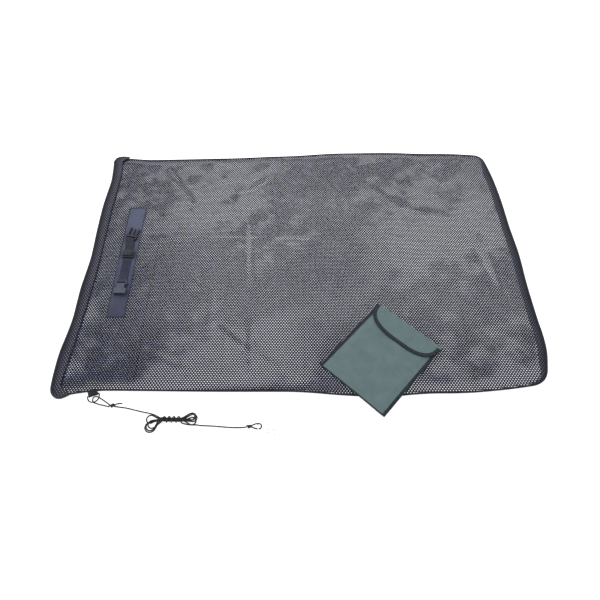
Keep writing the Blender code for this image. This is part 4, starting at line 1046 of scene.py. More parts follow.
def netSheet(name, low, high, heightAt, layer):
    # One part of a layer: hexagonal holes in staggered rows, a strand at each of their sides
    step = (netPitch, netRowStep)
    first, last = int(round(low / netPitch)), int(round(high / netPitch))
    tall = int(net["span"] / netRowStep)
    column, row = np.meshgrid(np.arange(first - 2, last + 3), np.arange(-tall, tall + 1), indexing="ij")
    staggered = row % 2
    centres = np.stack([(column + 0.5 * staggered) * netPitch, row * netRowStep], axis=-1)
    turn = layer["turn"]
    spin = np.array([[math.cos(turn), math.sin(turn)], [-math.sin(turn), math.cos(turn)]])
    flat = drawn(centres.reshape(-1, 2) @ spin, layer["drift"])
    kept = edgeDistance(flat).reshape(row.shape) > net["edgeInset"] + 0.3 * netRowStep
    kept &= (column >= first) & (column < last)
    offsets = np.array([(0.5, 1 / 3), (0, 2 / 3), (-0.5, 1 / 3), (-0.5, -1 / 3), (0, -2 / 3), (0.5, -1 / 3)])
    closer = 1 - net["closerNear"] * smoothStep(-flat[:, 1], *net["nearZone"])
    closer = closer * (1 - net["closerMouth"] * smoothStep(-flat[:, 0], *net["mouthZone"]))
    hole = np.sqrt(layer["open"] * closer).reshape(-1, 1, 1)
    corners = flat.reshape(-1, 1, 2) + (offsets * step) @ spin * hole

    quads, triangles = strands(kept, staggered)
    used, order = np.unique(np.concatenate([quads.ravel(), triangles.ravel()]), return_inverse=True)
    spots = corners.reshape(-1, 2)[used]
    reach = reachAt(spots) - net["edgeInset"]
    spots = spots * np.minimum(1, reach / np.linalg.norm(spots, axis=1))[:, None]

    mesh = bpy.data.meshes.new(name)
    mesh.vertices.add(len(spots))
    mesh.vertices.foreach_set("co", np.column_stack([spots, heightAt(spots)]).ravel())
    mesh.loops.add(len(order))
    mesh.loops.foreach_set("vertex_index", order)
    mesh.polygons.add(len(quads) + len(triangles))
    starts = np.concatenate([np.arange(len(quads)) * 4, quads.size + np.arange(len(triangles)) * 3])
    mesh.polygons.foreach_set("loop_start", starts)
    mesh.update(calc_edges=True)
    mesh.validate()
    mesh.materials.append(netThread)
    mesh.shade_smooth()
    return newObject(name, mesh)


def thickened(sheet, thickness):
    onlySelected(sheet)
    walls = sheet.modifiers.new("thread", "SOLIDIFY")
    walls.thickness = thickness
    walls.offset = 0
    bpy.ops.object.modifier_apply(modifier="thread")
    return sheet


def makeNets():
    low, high = panelOutline[:, 0].min(), panelOutline[:, 0].max()
    for side, heightAt in (("top", topHeight), ("bottom", bottomHeight)):
        layer = layers[side]
        borders = np.linspace(low - net["overlap"], high + net["overlap"], layer["parts"] + 1)
        for part, (begin, end) in enumerate(zip(borders, borders[1:]), 1):
            sheet = netSheet(f"{side}Net{part}", begin, end, heightAt, layer)
            if side == "top":
                thickened(sheet, net["thread"])
            rideAndReplace(sheet, "sack", f"{side}_net_panel", slot="net")
    print("net layers made")


makeNets()


# Hems, sewn edges and the foot band

hem = {
    "width": 0.0250,
    "thickness": 0.0021,
    "roll": 0.0003,
    "rope": 0.0024,
    "ropeDrop": 0.0002,
    "floorGap": 0.0001,
    "pucker": 0.00035,
    "cornerReach": 0.034,
    "flare": 0.022,
    "rows": 420,
    "columns": 12,
    "outerStitches": 0.0075,
    "innerStitches": 0.0035,
    "stitchLift": 0.0002,
}
# The two lips of the mouth: height, how thick and how puckered the hem is, its rope, and what it lies on
lips = {
    "top": {"height": 0.0097, "thick": 1.0, "pucker": 0.6, "rope": 1.0, "restsOn": ["topNet1"]},
    "bottom": {"height": 0.0014, "thick": 0.7, "pucker": 0.2, "rope": 0.62, "restsOn": ["bottomNet1"]},
}
# How far the hem's end rows lie inside the outline, from the mouth's edge inwards
hemEndShares = (0.0, 0.10, 0.25, 0.50, 0.75, 1.0)
nearEndInsets = (0.0100, 0.0030, -0.0030, -0.0040, 0.0006, 0.0068)
farEndInsets = (0.0150, 0.0080, 0.0030, 0.0010, 0.0014, 0.0030)
edge = {
    "bead": (0.0023, 0.0022),
    "beadInset": 0.0008,
    "height": 0.0041,
    "overlockPitch": 0.0034,
    "overlockRadius": 0.00032,
    "overlockSteps": 8,
    "overlockHug": 0.6,
    "stitchInset": 0.0055,
    "stitchPitch": 0.0052,
    "stitchLift": 0.0003,
}
foot = {
    "width": 0.0235,
    "outermost": 0.001,
    "taper": 18,
    "taperTo": 0.25,
    "lift": 0.0011,
    "thickness": 0.0012,
    "pucker": 0.0002,
    "puckerRate": 1.7,
    "columns": 8,
}
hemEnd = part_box("mouth_hem_top")[1].x
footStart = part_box("foot_seam")[0].x


def edgeStretch(good):
    # The part of the outline where good holds, in order
    first = int(np.flatnonzero(good & ~np.roll(good, 1))[0])
    return np.roll(edgeLine, -first, axis=0)[np.roll(good, -first)]


def clothSlab(name, grid, thickness, finish):
    # A sheet through rows of places, with its thickness about them; its map is in metres
    grid = np.asarray(grid, float)
    rows, columns = grid.shape[:2]
    index = np.arange(rows * columns).reshape(rows, columns)
    faces = np.stack([index[:-1, :-1], index[1:, :-1], index[1:, 1:], index[:-1, 1:]], axis=-1)
    walked = []
    for axis in (0, 1):
        steps = np.linalg.norm(np.diff(grid, axis=axis), axis=2).mean(axis=1 - axis)
        walked.append(np.concatenate([[0], np.cumsum(steps)]))
    maps = np.stack(np.meshgrid(*walked, indexing="ij"), axis=-1).reshape(-1, 2)
    piece = meshPiece(name, grid.reshape(-1, 3), faces.reshape(-1, 4), finish, maps)
    across = np.cross(grid[1, 0] - grid[0, 0], grid[0, 1] - grid[0, 0])
    if across[2] < 0:
        piece.data.flip_normals()
    return thickened(piece, thickness)


def mouthSide():
    # The mouth's edge as places along Y, its outer side, and the smoother line of the hem's inner edge
    line = edgeStretch(edgeLine[:, 0] < hemEnd)
    line = line[np.argsort(line[:, 1])]
    heights = np.linspace(line[0, 1], line[-1, 1], hem["rows"])
    outer = np.array([line[np.abs(line[:, 1] - y) < 0.004][:, 0].min() for y in heights])
    outer = np.convolve(np.pad(outer, 4, mode="edge"), np.ones(9) / 9, mode="valid")
    middle = np.abs(heights - heights.mean()) < 0.44 * np.ptp(heights)
    ease = np.polynomial.polynomial.Polynomial.fit(heights[middle], outer[middle], 6)
    inner = np.where(middle, ease(heights), np.clip(ease(heights), outer - 0.004, outer + 0.012))
    return heights, outer, inner + hem["width"]


def makeHems():
    heights, outer, inner = mouthSide()
    steps = np.linspace(0, 1, hem["columns"])
    draw = np.random.default_rng(3)
    puckers = draw.normal(0, 1, (len(heights), 1)) * np.linspace(0.4, 1, hem["columns"])
    puckers = sum(np.roll(puckers, shift, axis=0) for shift in (-1, 0, 1)) / 1.7
    nearEnd = 1 - smoothStep(heights - heights[0], 0, hem["cornerReach"])
    farEnd = 1 - smoothStep(heights[-1] - heights, 0, hem["cornerReach"])
    wide = inner - outer + hem["flare"] * (nearEnd**2 + farEnd**2)
    across = outer[:, None] + wide[:, None] * steps
    across += hem["pucker"] * puckers * (steps > 0.8)
    rows = heights[:, None] + nearEnd[:, None] * np.interp(steps, hemEndShares, nearEndInsets)
    rows -= farEnd[:, None] * np.interp(steps, hemEndShares, farEndInsets)
    for side, lip in lips.items():
        level = lip["height"] + hem["pucker"] * puckers * lip["pucker"]
        grid = np.stack([across, rows, level + hem["roll"] * np.sin(steps * math.pi)], axis=-1)
        band = clothSlab(f"mouthHem{side.capitalize()}", grid, hem["thickness"] * lip["thick"], hemTape)
        rideAndReplace(band, "sack", f"mouth_hem_{side}", slot="hem_tape")

        rim = np.vstack([grid[0, :0:-1, :2], grid[::6, 0, :2], grid[-1, 1:, :2]])
        radius = hem["rope"] * lip["rope"]
        ropeHeight = max(lip["height"] - hem["ropeDrop"], radius + hem["floorGap"])
        line = smoothLine(np.column_stack([rim, np.full(len(rim), ropeHeight)]), 0.0022)
        rope = tube(f"mouthRope{side.capitalize()}", line, radius, edgeRope, 12, 3)
        rideAndReplace(rope, "sack", slot="cord")
        if side == "top":
            for number, inset in enumerate((hem["outerStitches"], hem["width"] - hem["innerStitches"]), 1):
                place = outer + inset + (inner - outer - hem["width"])
                row = np.column_stack([place, rows[:, 5], level[:, 5]])
                row[:, 2] += hem["thickness"] / 2 + hem["stitchLift"]
                stitches = stitchRow(f"hemStitches{number}", row, threadNavy)
                rideAndReplace(stitches, "sack", slot="hem_tape")
    print("hems made")


def makeSewnEdges():
    line = edgeStretch(edgeLine[:, 0] > hemEnd)
    path = smoothLine(np.column_stack([line, np.full(len(line), edge["height"])])[::2], 0.004)
    sides, _ = levelFrames(path)
    path -= sides * edge["beadInset"]
    corners, faces, maps = sweptParts(path, roundSection(1.0, 12) * edge["bead"], levelFrames(path))
    bead = meshPiece("sewnEdge", corners, faces, sideTape, maps)
    rideAndReplace(bead, "sack", "near_seam", "far_seam", slot="hem_tape")

    walked = walkedAlong(path)
    turns = int(walked[-1] / edge["overlockPitch"])
    spots = np.linspace(0, walked[-1], edge["overlockSteps"] * turns + 1)
    centre = pointsAt(spots, walked, path)
    outward, upward = levelFrames(centre)
    angle = 2 * math.pi * np.arange(len(spots)) / edge["overlockSteps"]
    reach = np.array(edge["bead"]) + edge["overlockRadius"] * edge["overlockHug"]
    thread = centre + outward * (np.cos(angle) * reach[0])[:, None]
    thread += upward * (np.sin(angle) * reach[1])[:, None]
    overlock = tube("overlockThread", thread, edge["overlockRadius"], threadNavy, 4)
    rideAndReplace(overlock, "sack", slot="hem_tape")

    inward = path - sides * edge["stitchInset"]
    inward[:, 2] = topHeight(inward[:, :2]) + net["thread"] / 2 + edge["stitchLift"]
    stitches = stitchRow("edgeStitches", inward, threadNavy, edge["stitchPitch"])
    rideAndReplace(stitches, "sack", slot="hem_tape")


def makeFootBand():
    line = edgeStretch(edgeLine[:, 0] > footStart)
    line = smoothLine(np.column_stack([line, np.zeros(len(line))])[::2], 0.006)
    order = np.arange(len(line))
    sides, _ = levelFrames(line)
    ends = smoothStep(np.minimum(order, order[::-1]) / foot["taper"], 0, 1)
    wide = foot["taperTo"] + (1 - foot["taperTo"]) * ends
    steps = np.linspace(foot["outermost"], foot["width"], foot["columns"]) * wide[:, None]
    spots = line[:, None, :] - sides[:, None, :] * steps[..., None]
    level = topHeight(spots[..., :2].reshape(-1, 2)).reshape(spots.shape[:2]) + foot["lift"]
    spots[..., 2] = level + foot["pucker"] * np.sin(order * foot["puckerRate"])[:, None]
    band = clothSlab("footBand", spots, foot["thickness"], footTape)
    rideAndReplace(band, "sack", "foot_seam", slot="hem_tape")
    print("sewn edges made")


makeHems()
makeSewnEdges()
makeFootBand()


# Roll strap: patch, sewn webbing, the two strap ends and the buckle

strap = {
    "patchThickness": 0.0008,
    "edgeRuffle": (41, 0.010, 0.00028),
    "ruffleFade": 0.006,
    "slowRuffle": (42, 0.05, 0.00022),
    "sewnHalf": 0.014,
    "sewnShare": 0.35,
    "edgeShift": (43, 0.012, 0.0005),
    "shiftFade": 0.004,
    "zigzagInset": 0.0016,
    "threadLift": 0.0002,
    "webbing": 0.0012,
    "width": 0.0240,
    "clearance": 0.0003,
    "maleReach": 0.0673,
    "femaleReach": 0.0153,
    "barRadius": 0.0018,
    "travel": 0.0105,
    "tailStart": 0.0080,
    "sway": 0.002,
    "swayTurn": math.radians(12),
    "bend": 0.0009,
    "rowInset": 0.0022,
    "rowMargin": 0.004,
    "tackInsets": (0.0045, 0.0085),
    "sliderBar": 0.0045,
}
ply = -strap["webbing"] / 2
plyStep = strap["webbing"] + strap["clearance"]
loopRadius = strap["barRadius"] + strap["clearance"] + strap["webbing"] / 2
barHeight = loopRadius - strap["webbing"] / 2
centreLow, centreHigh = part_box("strap_centre")
sliderLow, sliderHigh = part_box("slider")
upperHinge = np.array(((centreLow.x + centreHigh.x) / 2, centreHigh.y, centreHigh.z))
lowerHinge = np.array((upperHinge[0], centreLow.y, centreHigh.z))


def makePatch():
    low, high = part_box("strap_patch")
    across = np.linspace(low.x, high.x, 25)
    along = np.linspace(low.y, high.y, 160)
    grid = np.stack(np.meshgrid(along, across, indexing="ij"), axis=-1)[..., ::-1]
    flat = grid.reshape(-1, 2)
    x, y = flat.T
    fromEdge = np.minimum(np.minimum(x - low.x, high.x - x), np.minimum(y - low.y, high.y - y))
    ruffle = rolling(flat, *strap["edgeRuffle"]) * np.exp(-fromEdge / strap["ruffleFade"])
    ruffle += rolling(flat, *strap["slowRuffle"])
    free = 1 - np.exp(-(((x - (low.x + high.x) / 2) / strap["sewnHalf"]) ** 4))
    level = (low.z + high.z) / 2 + ruffle * (strap["sewnShare"] + (1 - strap["sewnShare"]) * free)
    shift = rolling(flat, *strap["edgeShift"]) * np.exp(-fromEdge / strap["shiftFade"])
    places = np.column_stack([x + shift, y, level]).reshape(*grid.shape[:2], 3)
    patch = clothSlab("strapPatch", places, strap["patchThickness"], patchCloth)
    rideAndReplace(patch, "sack", "strap_patch", slot="patch_cloth")
    left, right = low.x + strap["zigzagInset"], high.x - strap["zigzagInset"]
    near, far = low.y + strap["zigzagInset"], high.y - strap["zigzagInset"]
    top = high.z + strap["threadLift"]
    ring = [(x, y, top) for x, y in ((left, near), (right, near), (right, far), (left, far), (left, near))]
    rideAndReplace(zigzagRow("patchZigzag", ring, threadNavy), "sack", slot="patch_cloth")


def strapSection():
    # Cross-section of the webbing, a little fuller along its two edges
    half, thick = strap["width"] / 2, strap["webbing"] / 2
    across = np.array([-1, -0.985, -0.94, -0.86, -0.4, 0, 0.4, 0.86, 0.94, 0.985, 1]) * half
    upward = np.array([0, 0.75, 1.06, 0.96, 0.92, 0.92, 0.92, 0.96, 1.06, 0.75, 0]) * thick
    upper = np.column_stack([across, upward])
    lower = np.column_stack([across[1:-1][::-1], -upward[1:-1][::-1]])
    return np.vstack([upper, lower])


def webbingBand(name, path, finish, place, turn=0.0, bendSideways=None):
    # Webbing along a line of (forward, up) places, with forward along +Y before it is turned and placed
    path = np.asarray(path, float)
    line = np.column_stack([np.zeros(len(path)), path])
    sides = np.broadcast_to((1.0, 0.0, 0.0), line.shape)
    section = strapSection()
    corners, faces, maps = sweptParts(line, section, (sides, np.cross(sides, headings(line))))
    maps = np.column_stack([maps[:, 0], np.tile(section[:, 0], len(path))])
    if bendSideways is not None:
        corners = bendSideways(corners)
    spin = np.array(Matrix.Rotation(turn, 3, "Z"))
    return meshPiece(name, corners @ spin.T + place, faces, finish, maps)


def turnedCorners(points, radius):
    # A line whose inner corners are turned on short curves
    points = [np.array(point, float) for point in points]
    line = [points[0]]
    for before, corner, after in zip(points, points[1:], points[2:]):
        start = corner + (before - corner) / np.linalg.norm(before - corner) * radius
        end = corner + (after - corner) / np.linalg.norm(after - corner) * radius
        for step in np.linspace(0, 1, 5):
            first = start * (1 - step) + corner * step
            second = corner * (1 - step) + end * step
            line.append(first * (1 - step) + second * step)
    return np.array(line + [points[-1]])


def overBar(reach):
    # Webbing from under the bar at that reach round to its upper side
    angles = np.radians(np.linspace(-90, 90, 15))[1:]
    return np.column_stack([reach + loopRadius * np.cos(angles), barHeight + loopRadius * np.sin(angles)])


def straight(start, end, steps):
    share = np.linspace(0, 1, steps + 1)[:, None]
    return np.array(start) * (1 - share) + np.array(end) * share


def swayed(corners):
    # The adjustable end drifts to one side and turns, from the end of the slider's travel to the buckle
    begin = sliderHigh.y - upperHinge[1] + strap["travel"]
    run = strap["maleReach"] - begin
    slope = math.tan(strap["swayTurn"])
    share = np.clip((corners[:, 1] - begin) / run, 0, 1)
    drift = -strap["sway"] * (3 * share**2 - 2 * share**3) + slope * run * (share**3 - share**2)
    rate = -strap["sway"] * (6 * share - 6 * share**2) / run + slope * (3 * share**2 - 2 * share)
    beyond = np.maximum(0, corners[:, 1] - strap["maleReach"])
    drift = np.where(beyond > 0, -strap["sway"] + slope * beyond, drift)
    heading = np.arctan(np.where(beyond > 0, slope, rate))
    moved = corners.copy()
    moved[:, 0] = drift + corners[:, 0] * np.cos(heading)
    moved[:, 1] = corners[:, 1] - beyond * (1 - np.cos(heading)) - corners[:, 0] * np.sin(heading)
    return moved


def makeSeam():
    # The webbing sewn along the middle of the patch, with its stitches
    middle = (centreLow.z + centreHigh.z) / 2 - centreHigh.z
    line = straight((0, middle), (centreHigh.y - centreLow.y, middle), 30)
    centreBand = webbingBand("strapCentre", line, strapWebbing, lowerHinge)
    rideAndReplace(centreBand, "sack", "strap_centre", slot="webbing")
    top = centreHigh.z + strap["threadLift"]
    half = strap["width"] / 2 - strap["rowInset"]
    left, right = upperHinge[0] - half, upperHinge[0] + half
    near, far = centreLow.y + strap["rowMargin"], centreHigh.y - strap["rowMargin"]
    rows = [stitchRow("row", [(x, near, top), (x, far, top)], threadPale, 0.0036) for x in (left, right)]
    tacks = [centreLow.y + inset for inset in strap["tackInsets"]]
    tacks += [centreHigh.y - inset for inset in strap["tackInsets"][::-1]]
    rows += [zigzagRow("row", [(left, y, top), (right, y, top)], threadPale, 0.0016, 0.0011) for y in tacks]
    rideAndReplace(joined("strapStitches", rows), "sack", slot="webbing")


def makeAdjustableEnd():
    # Out from the seam, round the male half's bar and back through the slider
    bar = (strap["maleReach"], barHeight + loopRadius)
    leaving = (sliderHigh.y - upperHinge[1] + strap["travel"], ply + plyStep)
    path = np.vstack(
        [
            straight((strap["clearance"], ply), (strap["maleReach"], barHeight - loopRadius), 40),
            overBar(strap["maleReach"]),
            straight(bar, leaving, 24)[1:],
            straight(leaving, (strap["tailStart"], ply + plyStep), 10)[1:],
        ]
    )
    band = webbingBand("adjustableEnd", path, darkWebbing, upperHinge, bendSideways=swayed)
    rideAndReplace(band, "upper_strap", "adjuster_webbing", slot="webbing")

    # The two plies that the slider carries over its middle bar
    gap = strap["sliderBar"] + strap["clearance"] + strap["webbing"] / 2
    first = sliderLow.y - upperHinge[1] + gap
    last = sliderHigh.y - upperHinge[1] - gap
    crest = sliderHigh.z - upperHinge[2] + strap["clearance"] + strap["webbing"] / 2
    low = plyStep + strap["clearance"] / 2
    humps = []
    for step in (0, 1):
        start, end = first + (1 - step) * plyStep, last - (1 - step) * plyStep
        high = crest + step * plyStep
        line = turnedCorners([(start, low), (start, high), (end, high), (end, low)], strap["bend"])
        humps.append(webbingBand("hump", smoothLine(line, 0.0007), darkWebbing, upperHinge))
    rideAndReplace(joined("sliderWebbing", humps), "slider", slot="webbing")


def makeFixedEnd():
    # Out from the seam, round the female half's bar and back
    reach = strap["femaleReach"]
    bar = (reach, barHeight + loopRadius)
    landing = (strap["clearance"], ply + plyStep)
    halfway = (reach / 2, landing[1] + (bar[1] - landing[1]) / 3)
    path = np.vstack(
        [
            straight((strap["clearance"], ply), (reach, barHeight - loopRadius), 10),
            overBar(reach),
            smoothLine([bar, halfway, landing], 0.0012)[1:],
        ]
    )
    band = webbingBand("fixedEnd", path, strapWebbing, lowerHinge, math.pi)
    rideAndReplace(band, "lower_strap", "lower_webbing", slot="webbing")
    print("strap made")


# Rigid pieces of the construction: node, name, finish, body, slot, sharpest angle, how far edges ease
hardware = (
    ("slider", "webbingSlider", sliderPlastic, "slider", "buckle_plastic", 35, 0.00025),
    ("male_buckle", "maleHalf", malePlastic, "male_half", "buckle_plastic", 35, 0.0),
    ("male_arm_left", "leftArm", malePlastic, "left_arm", "buckle_plastic", 35, 0.0002),
    ("male_arm_right", "rightArm", malePlastic, "right_arm", "buckle_plastic", 35, 0.0002),
    ("female_buckle", "femaleHalf", femalePlasticPaintedReflection, "female_half", "buckle_plastic", 35, 0.0),
    ("swivel_eye", "swivelEye", clipChrome, "sack", "chrome", 50, 0.0),
    ("clip_hook", "clipHook", clipChrome, "hook", "chrome", 50, 0.0),
    ("gate_pin", "gatePin", clipChrome, "hook", "chrome", 45, 0.0),
    ("gate_spring", "gateSpring", springSteel, "hook", "spring_steel", 80, 0.0),
    ("clip_gate", "clipGate", clipChrome, "gate", "chrome", 40, 0.00012),
    ("ring_tab", "ringTab", tabWebbing, "sack", "tab_webbing", 40, 0.00025),
    ("d_ring", "dRing", ringSteel, "ring", "ring_steel", 80, 0.0),
)
dressing = {
    "weldReach": 0.000004,
    "flatDegrees": 0.8,
    "easeSteps": 2,
    "easeDegrees": 50,
}


def makeHardware():
    for node, name, finish, body, slot, angle, softEdge in hardware:
        piece = newObject(name, nodes[node].data.copy())
        onlySelected(piece)
        bpy.ops.object.mode_set(mode="EDIT")
        bpy.ops.mesh.select_all(action="SELECT")
        bpy.ops.mesh.remove_doubles(threshold=dressing["weldReach"])
        bpy.ops.mesh.dissolve_limited(angle_limit=math.radians(dressing["flatDegrees"]))
        bpy.ops.object.mode_set(mode="OBJECT")
        if softEdge:
            ease = piece.modifiers.new("easedEdges", "BEVEL")
            ease.width = softEdge
            ease.segments = dressing["easeSteps"]
            ease.limit_method = "ANGLE"
            ease.angle_limit = math.radians(dressing["easeDegrees"])
            bpy.ops.object.modifier_apply(modifier="easedEdges")
        piece.data.materials.clear()
        piece.data.materials.append(finish)
        bpy.ops.object.shade_smooth_by_angle(angle=math.radians(angle))
        rideAndReplace(piece, body, node, slot=slot)
    print("hardware dressed")


makePatch()
makeSeam()
makeAdjustableEnd()
makeFixedEnd()
makeHardware()


# Pouch, made in its own frame (across, along, up) and laid at its place

pouch = {
    "halfWidth": pouchFrame["width"] / 2,
    "cloth": 0.0008,
    "clothInset": 0.0010,
    "binding": 0.0084,
    "bindingThick": 0.0032,
    "bindingEnd": 0.2300,
    "bottomBinding": 0.0036,
    "bottomInset": 0.0060,
    "backLevel": 0.0114,
    "frontLevel": 0.0166,
    "edgeLevel": 0.0140,
    "edgeEase": 0.020,
    "frontEnd": 0.2290,
    "foldLine": 0.2346,
    "flapDepth": 0.0630,
    "flapHalf": 0.0980,
    "flapPowers": (2.6, 3.0),
    "flapBinding": 0.0096,
    "flapBindingThick": 0.0024,
    "flapLevel": 0.0198,
    "flapRoot": 0.0126,
    "flapFall": 0.0010,
    "flapLeast": 0.0008,
    "flapTurnFrom": 0.0132,
    "flapTurnTo": 0.0172,
    "foldRadius": 0.0024,
    "threadLift": 0.0002,
    "droop": 0.0042,
    "stripLow": 0.1916,
    "stripSize": (0.080, 0.020),
    "stripThick": 0.0007,
    "stripGap": 0.00015,
    "backRoll": (51, 0.08, 0.00015),
    "frontRolls": ((52, 0.075, 0.00055), (53, 0.028, 0.00016)),
    "flapRolls": ((55, 0.06, 0.0005), (56, 0.02, 0.00012)),
}
# Creases in the front: height, a point it runs through, how its distance grows across and along, half width
frontCreases = (
    (-0.0010, (-0.030, 0.085), (0.6, 0.8), 0.012),
    (0.0008, (0.035, 0.110), (0.75, -0.66), 0.010),
)


def atPouch(across, along, up):
    across, along, up = np.broadcast_arrays(across, along, up)
    x = pouchFrame["place"][0] + across * pouchAcross[0] + along * pouchAlong[0]
    y = pouchFrame["place"][1] + across * pouchAcross[1] + along * pouchAlong[1]
    past = -edgeDistance(np.stack([x, y], axis=-1).reshape(-1, 2)).reshape(x.shape)
    return np.stack([x, y, up - pouch["droop"] * smoothStep(past, -0.004, 0.060)], axis=-1)


def creased(across, along, seed, size, height):
    flat = np.stack([across.ravel(), along.ravel()], axis=1)
    return rolling(flat, seed, size, height).reshape(across.shape)


def toEdge(across, along):
    return np.minimum(pouch["halfWidth"] - np.abs(across), along)


def backHeight(across, along):
    rise = 1 - smoothStep(toEdge(across, along), 0.0, pouch["edgeEase"])
    level = pouch["backLevel"] + (pouch["edgeLevel"] - 0.0005 - pouch["backLevel"]) * rise
    return level + creased(across, along, *pouch["backRoll"])


def frontHeight(across, along):
    low, high = pouch["binding"] * 0.9, pouch["binding"] + pouch["edgeEase"]
    fall = 1 - smoothStep(toEdge(across, along), low, high)
    level = pouch["frontLevel"] + (pouch["edgeLevel"] + 0.0002 - pouch["frontLevel"]) * fall
    waves = sum(creased(across, along, *roll) for roll in pouch["frontRolls"])
    for ridge, (x, y), (perAcross, perAlong), width in frontCreases:
        gap = (across - x) * perAcross + (along - y) * perAlong
        waves = waves + ridge * np.exp(-((gap / width) ** 2))
    return level + waves * (1 - fall)


def flapPower(across):
    return np.where(across < 0, *pouch["flapPowers"])


def flapReach(across):
    # How far the flap's round free edge lies from the fold, at places across it
    share = np.clip(np.abs(across) / pouch["flapHalf"], 0, 1)
    power = flapPower(across)
    return pouch["flapDepth"] * (1 - share**power) ** (1 / power)


def flapEdge():
    # The flap's free edge from its left end round to its right end, in the pouch's plane
    angles = np.linspace(math.pi, 0, 600)
    power = flapPower(np.cos(angles))
    across = pouch["flapHalf"] * np.sign(np.cos(angles)) * np.abs(np.cos(angles)) ** (2 / power)
    along = pouch["foldLine"] - pouch["flapDepth"] * np.abs(np.sin(angles)) ** (2 / power)
    return smoothLine(np.column_stack([across, along, np.zeros(len(angles))])[::4], 0.0022)


def flapHeight(across, along):
    back = smoothStep(pouch["foldLine"] - along, 0.0, pouch["flapDepth"])
    waves = sum(creased(across, along, *roll) for roll in pouch["flapRolls"])
    return pouch["flapLevel"] - pouch["flapFall"] * back + waves * smoothStep(back, 0.02, 0.4)


def pouchGrid(acrossLine, alongLine, heightAt):
    along, across = np.meshgrid(alongLine, acrossLine, indexing="ij")
    return atPouch(across, along, heightAt(across, along))


def bindingBand(name, line, width, thick):
    # Folded tape: round at its outer fold, on the right of the line, and flat towards its two cut edges
    nose = [(math.cos(angle), math.sin(angle)) for angle in np.radians(np.arange(-75, 76, 30))]
    outer = [(width / 2 - thick * 0.45 + x * thick * 0.45, y * thick / 2) for x, y in nose]
    upper = [(0.0, thick * 0.47), (-width * 0.35, thick * 0.40), (-width / 2, thick * 0.36)]
    section = np.array([(x, -y) for x, y in reversed(upper)] + outer + upper)
    corners, faces, maps = sweptParts(line, section, levelFrames(line))
    maps = np.column_stack([maps[:, 0], np.tile(section[:, 0], len(line))])
    return meshPiece(name, corners, faces, pouchTape, maps, 50)


def makePanels():
    across = np.linspace(-1, 1, 100) * (pouch["halfWidth"] - pouch["clothInset"])
    for name, node, heightAt, length, under in (
        ("pouchBack", "pouch_back", backHeight, pouch["foldLine"], ["topNet3", "topNet4"]),
        ("pouchFront", "pouch_front", frontHeight, pouch["frontEnd"], ["pouchBack"]),
    ):
        along = np.linspace(pouch["clothInset"], length, 110)
        panel = clothSlab(name, pouchGrid(across, along, heightAt), pouch["cloth"], pouchCloth)
        rideAndReplace(panel, "pouch", node, slot="pouch_cloth")


def makeBindings():
    half = pouch["halfWidth"] - pouch["binding"] / 2 + 0.0006
    level = pouch["edgeLevel"]
    thick = pouch["bindingThick"]
    rows = []
    for side, name in ((-1, "left"), (1, "right")):
        places = np.linspace(0.0, pouch["bindingEnd"], 90)[::side]
        ripples = 0.00025 * np.sin(places * 420 + side) + 0.0002 * np.sin(places * 171)
        line = atPouch(side * half, places, level + ripples)
        band = bindingBand(f"pouchBinding{name.capitalize()}", line, pouch["binding"], thick)
        rideAndReplace(band, "pouch", f"pouch_binding_{name}", slot="pouch_binding")
        inner = side * (half - pouch["binding"] / 2 + 0.0014)
        row = atPouch(inner, places[1:-1], level + thick * 0.42 + ripples[1:-1] + pouch["threadLift"])
        rows.append(stitchRow("row", row, threadPale, 0.0038, 0.6, 0.0003))
    inset = pouch["halfWidth"] - pouch["bottomInset"]
    places = np.linspace(-inset, inset, 70)
    line = atPouch(places, pouch["bottomBinding"] / 2 - 0.0006, level + 0.00022 * np.sin(places * 380))
    band = bindingBand("pouchBindingBottom", line, pouch["bottomBinding"], thick * 0.96)
    rideAndReplace(band, "pouch", "pouch_binding_bottom", slot="pouch_binding")
    rideAndReplace(joined("pouchStitches", rows), "pouch", slot="pouch_binding")
    print("pouch panels made")


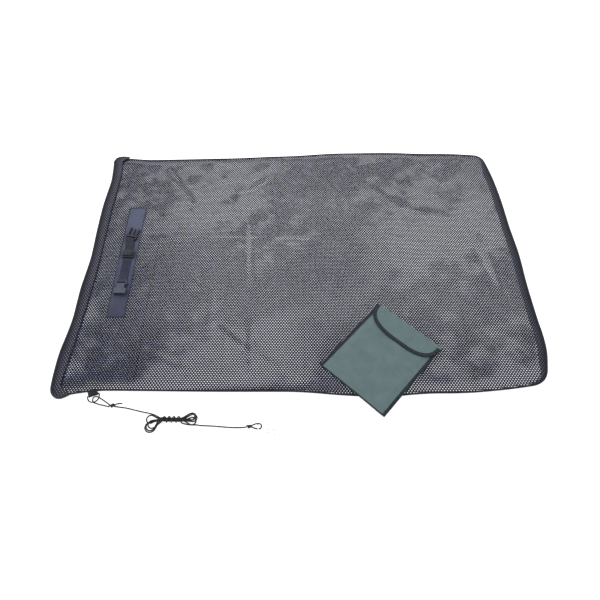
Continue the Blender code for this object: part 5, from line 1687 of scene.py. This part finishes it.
def makeFlap():
    radius = pouch["foldRadius"]
    across = np.linspace(-pouch["flapHalf"], pouch["flapHalf"], 120)
    rows = [
        atPouch(across, pouch["foldLine"], up)
        for up in np.linspace(pouch["flapRoot"], pouch["flapLevel"] - radius, 6)
    ]
    for angle in np.radians(np.arange(15, 90, 15)):
        along = pouch["foldLine"] - radius + radius * math.cos(angle)
        rows.append(atPouch(across, along, pouch["flapLevel"] - radius + radius * math.sin(angle)))
    reach = np.maximum(flapReach(across) - pouch["clothInset"] - radius, pouch["flapLeast"])
    for share in np.linspace(0, 1, 34):
        along = pouch["foldLine"] - radius - share * reach
        rows.append(atPouch(across, along, flapHeight(across, along)))
    flap = clothSlab("pouchFlap", np.array(rows), pouch["cloth"], pouchCloth)
    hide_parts("pouch_flap")
    x, y, _ = atPouch(0.0, pouch["foldLine"], 0.0)
    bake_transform(flap)

    line = flapEdge()[2:-2]
    sides, _ = levelFrames(line)
    middle = line - sides * (pouch["flapBinding"] / 2 - 0.0007)
    level = flapHeight(middle[:, 0], middle[:, 1]) + 0.00018 * np.sin(np.arange(len(middle)) * 0.9)
    thick = pouch["flapBindingThick"]
    tape = atPouch(middle[:, 0], middle[:, 1], level)
    band = bindingBand("flapBinding", tape, pouch["flapBinding"], thick)
    rideAndReplace(band, "flap", "flap_binding", slot="pouch_binding")
    row = atPouch(middle[:, 0], middle[:, 1], level + thick * 0.46 + pouch["threadLift"])
    stitches = stitchRow("flapStitches", row, threadPale, 0.0036, 0.62, 0.0004)
    rideAndReplace(stitches, "flap", slot="pouch_binding")
    print("flap made")


def makeClosure():
    width, depth = pouch["stripSize"]
    across = np.linspace(-width / 2, width / 2, 60)
    along = np.linspace(pouch["stripLow"], pouch["stripLow"] + depth, 20)
    gap = (pouch["cloth"] + pouch["stripThick"]) / 2 + pouch["stripGap"]
    for name, node, body, under, heightAt, way in (
        ("loopStrip", "loop_strip", "pouch", "pouchFront", frontHeight, 1),
        ("hookStrip", "hook_strip", "flap", "pouchFlap", flapHeight, -1),
    ):
        grid = pouchGrid(across, along, heightAt)
        draw = np.random.default_rng(61)
        grid[..., 2] += way * gap + draw.normal(0, 0.00004, grid.shape[:2])
        strip = clothSlab(name, grid, pouch["stripThick"], closureFuzz)
        rideAndReplace(strip, body, node, slot="closure")
    print("closure made")


makePanels()
makeBindings()
makeFlap()
makeClosure()
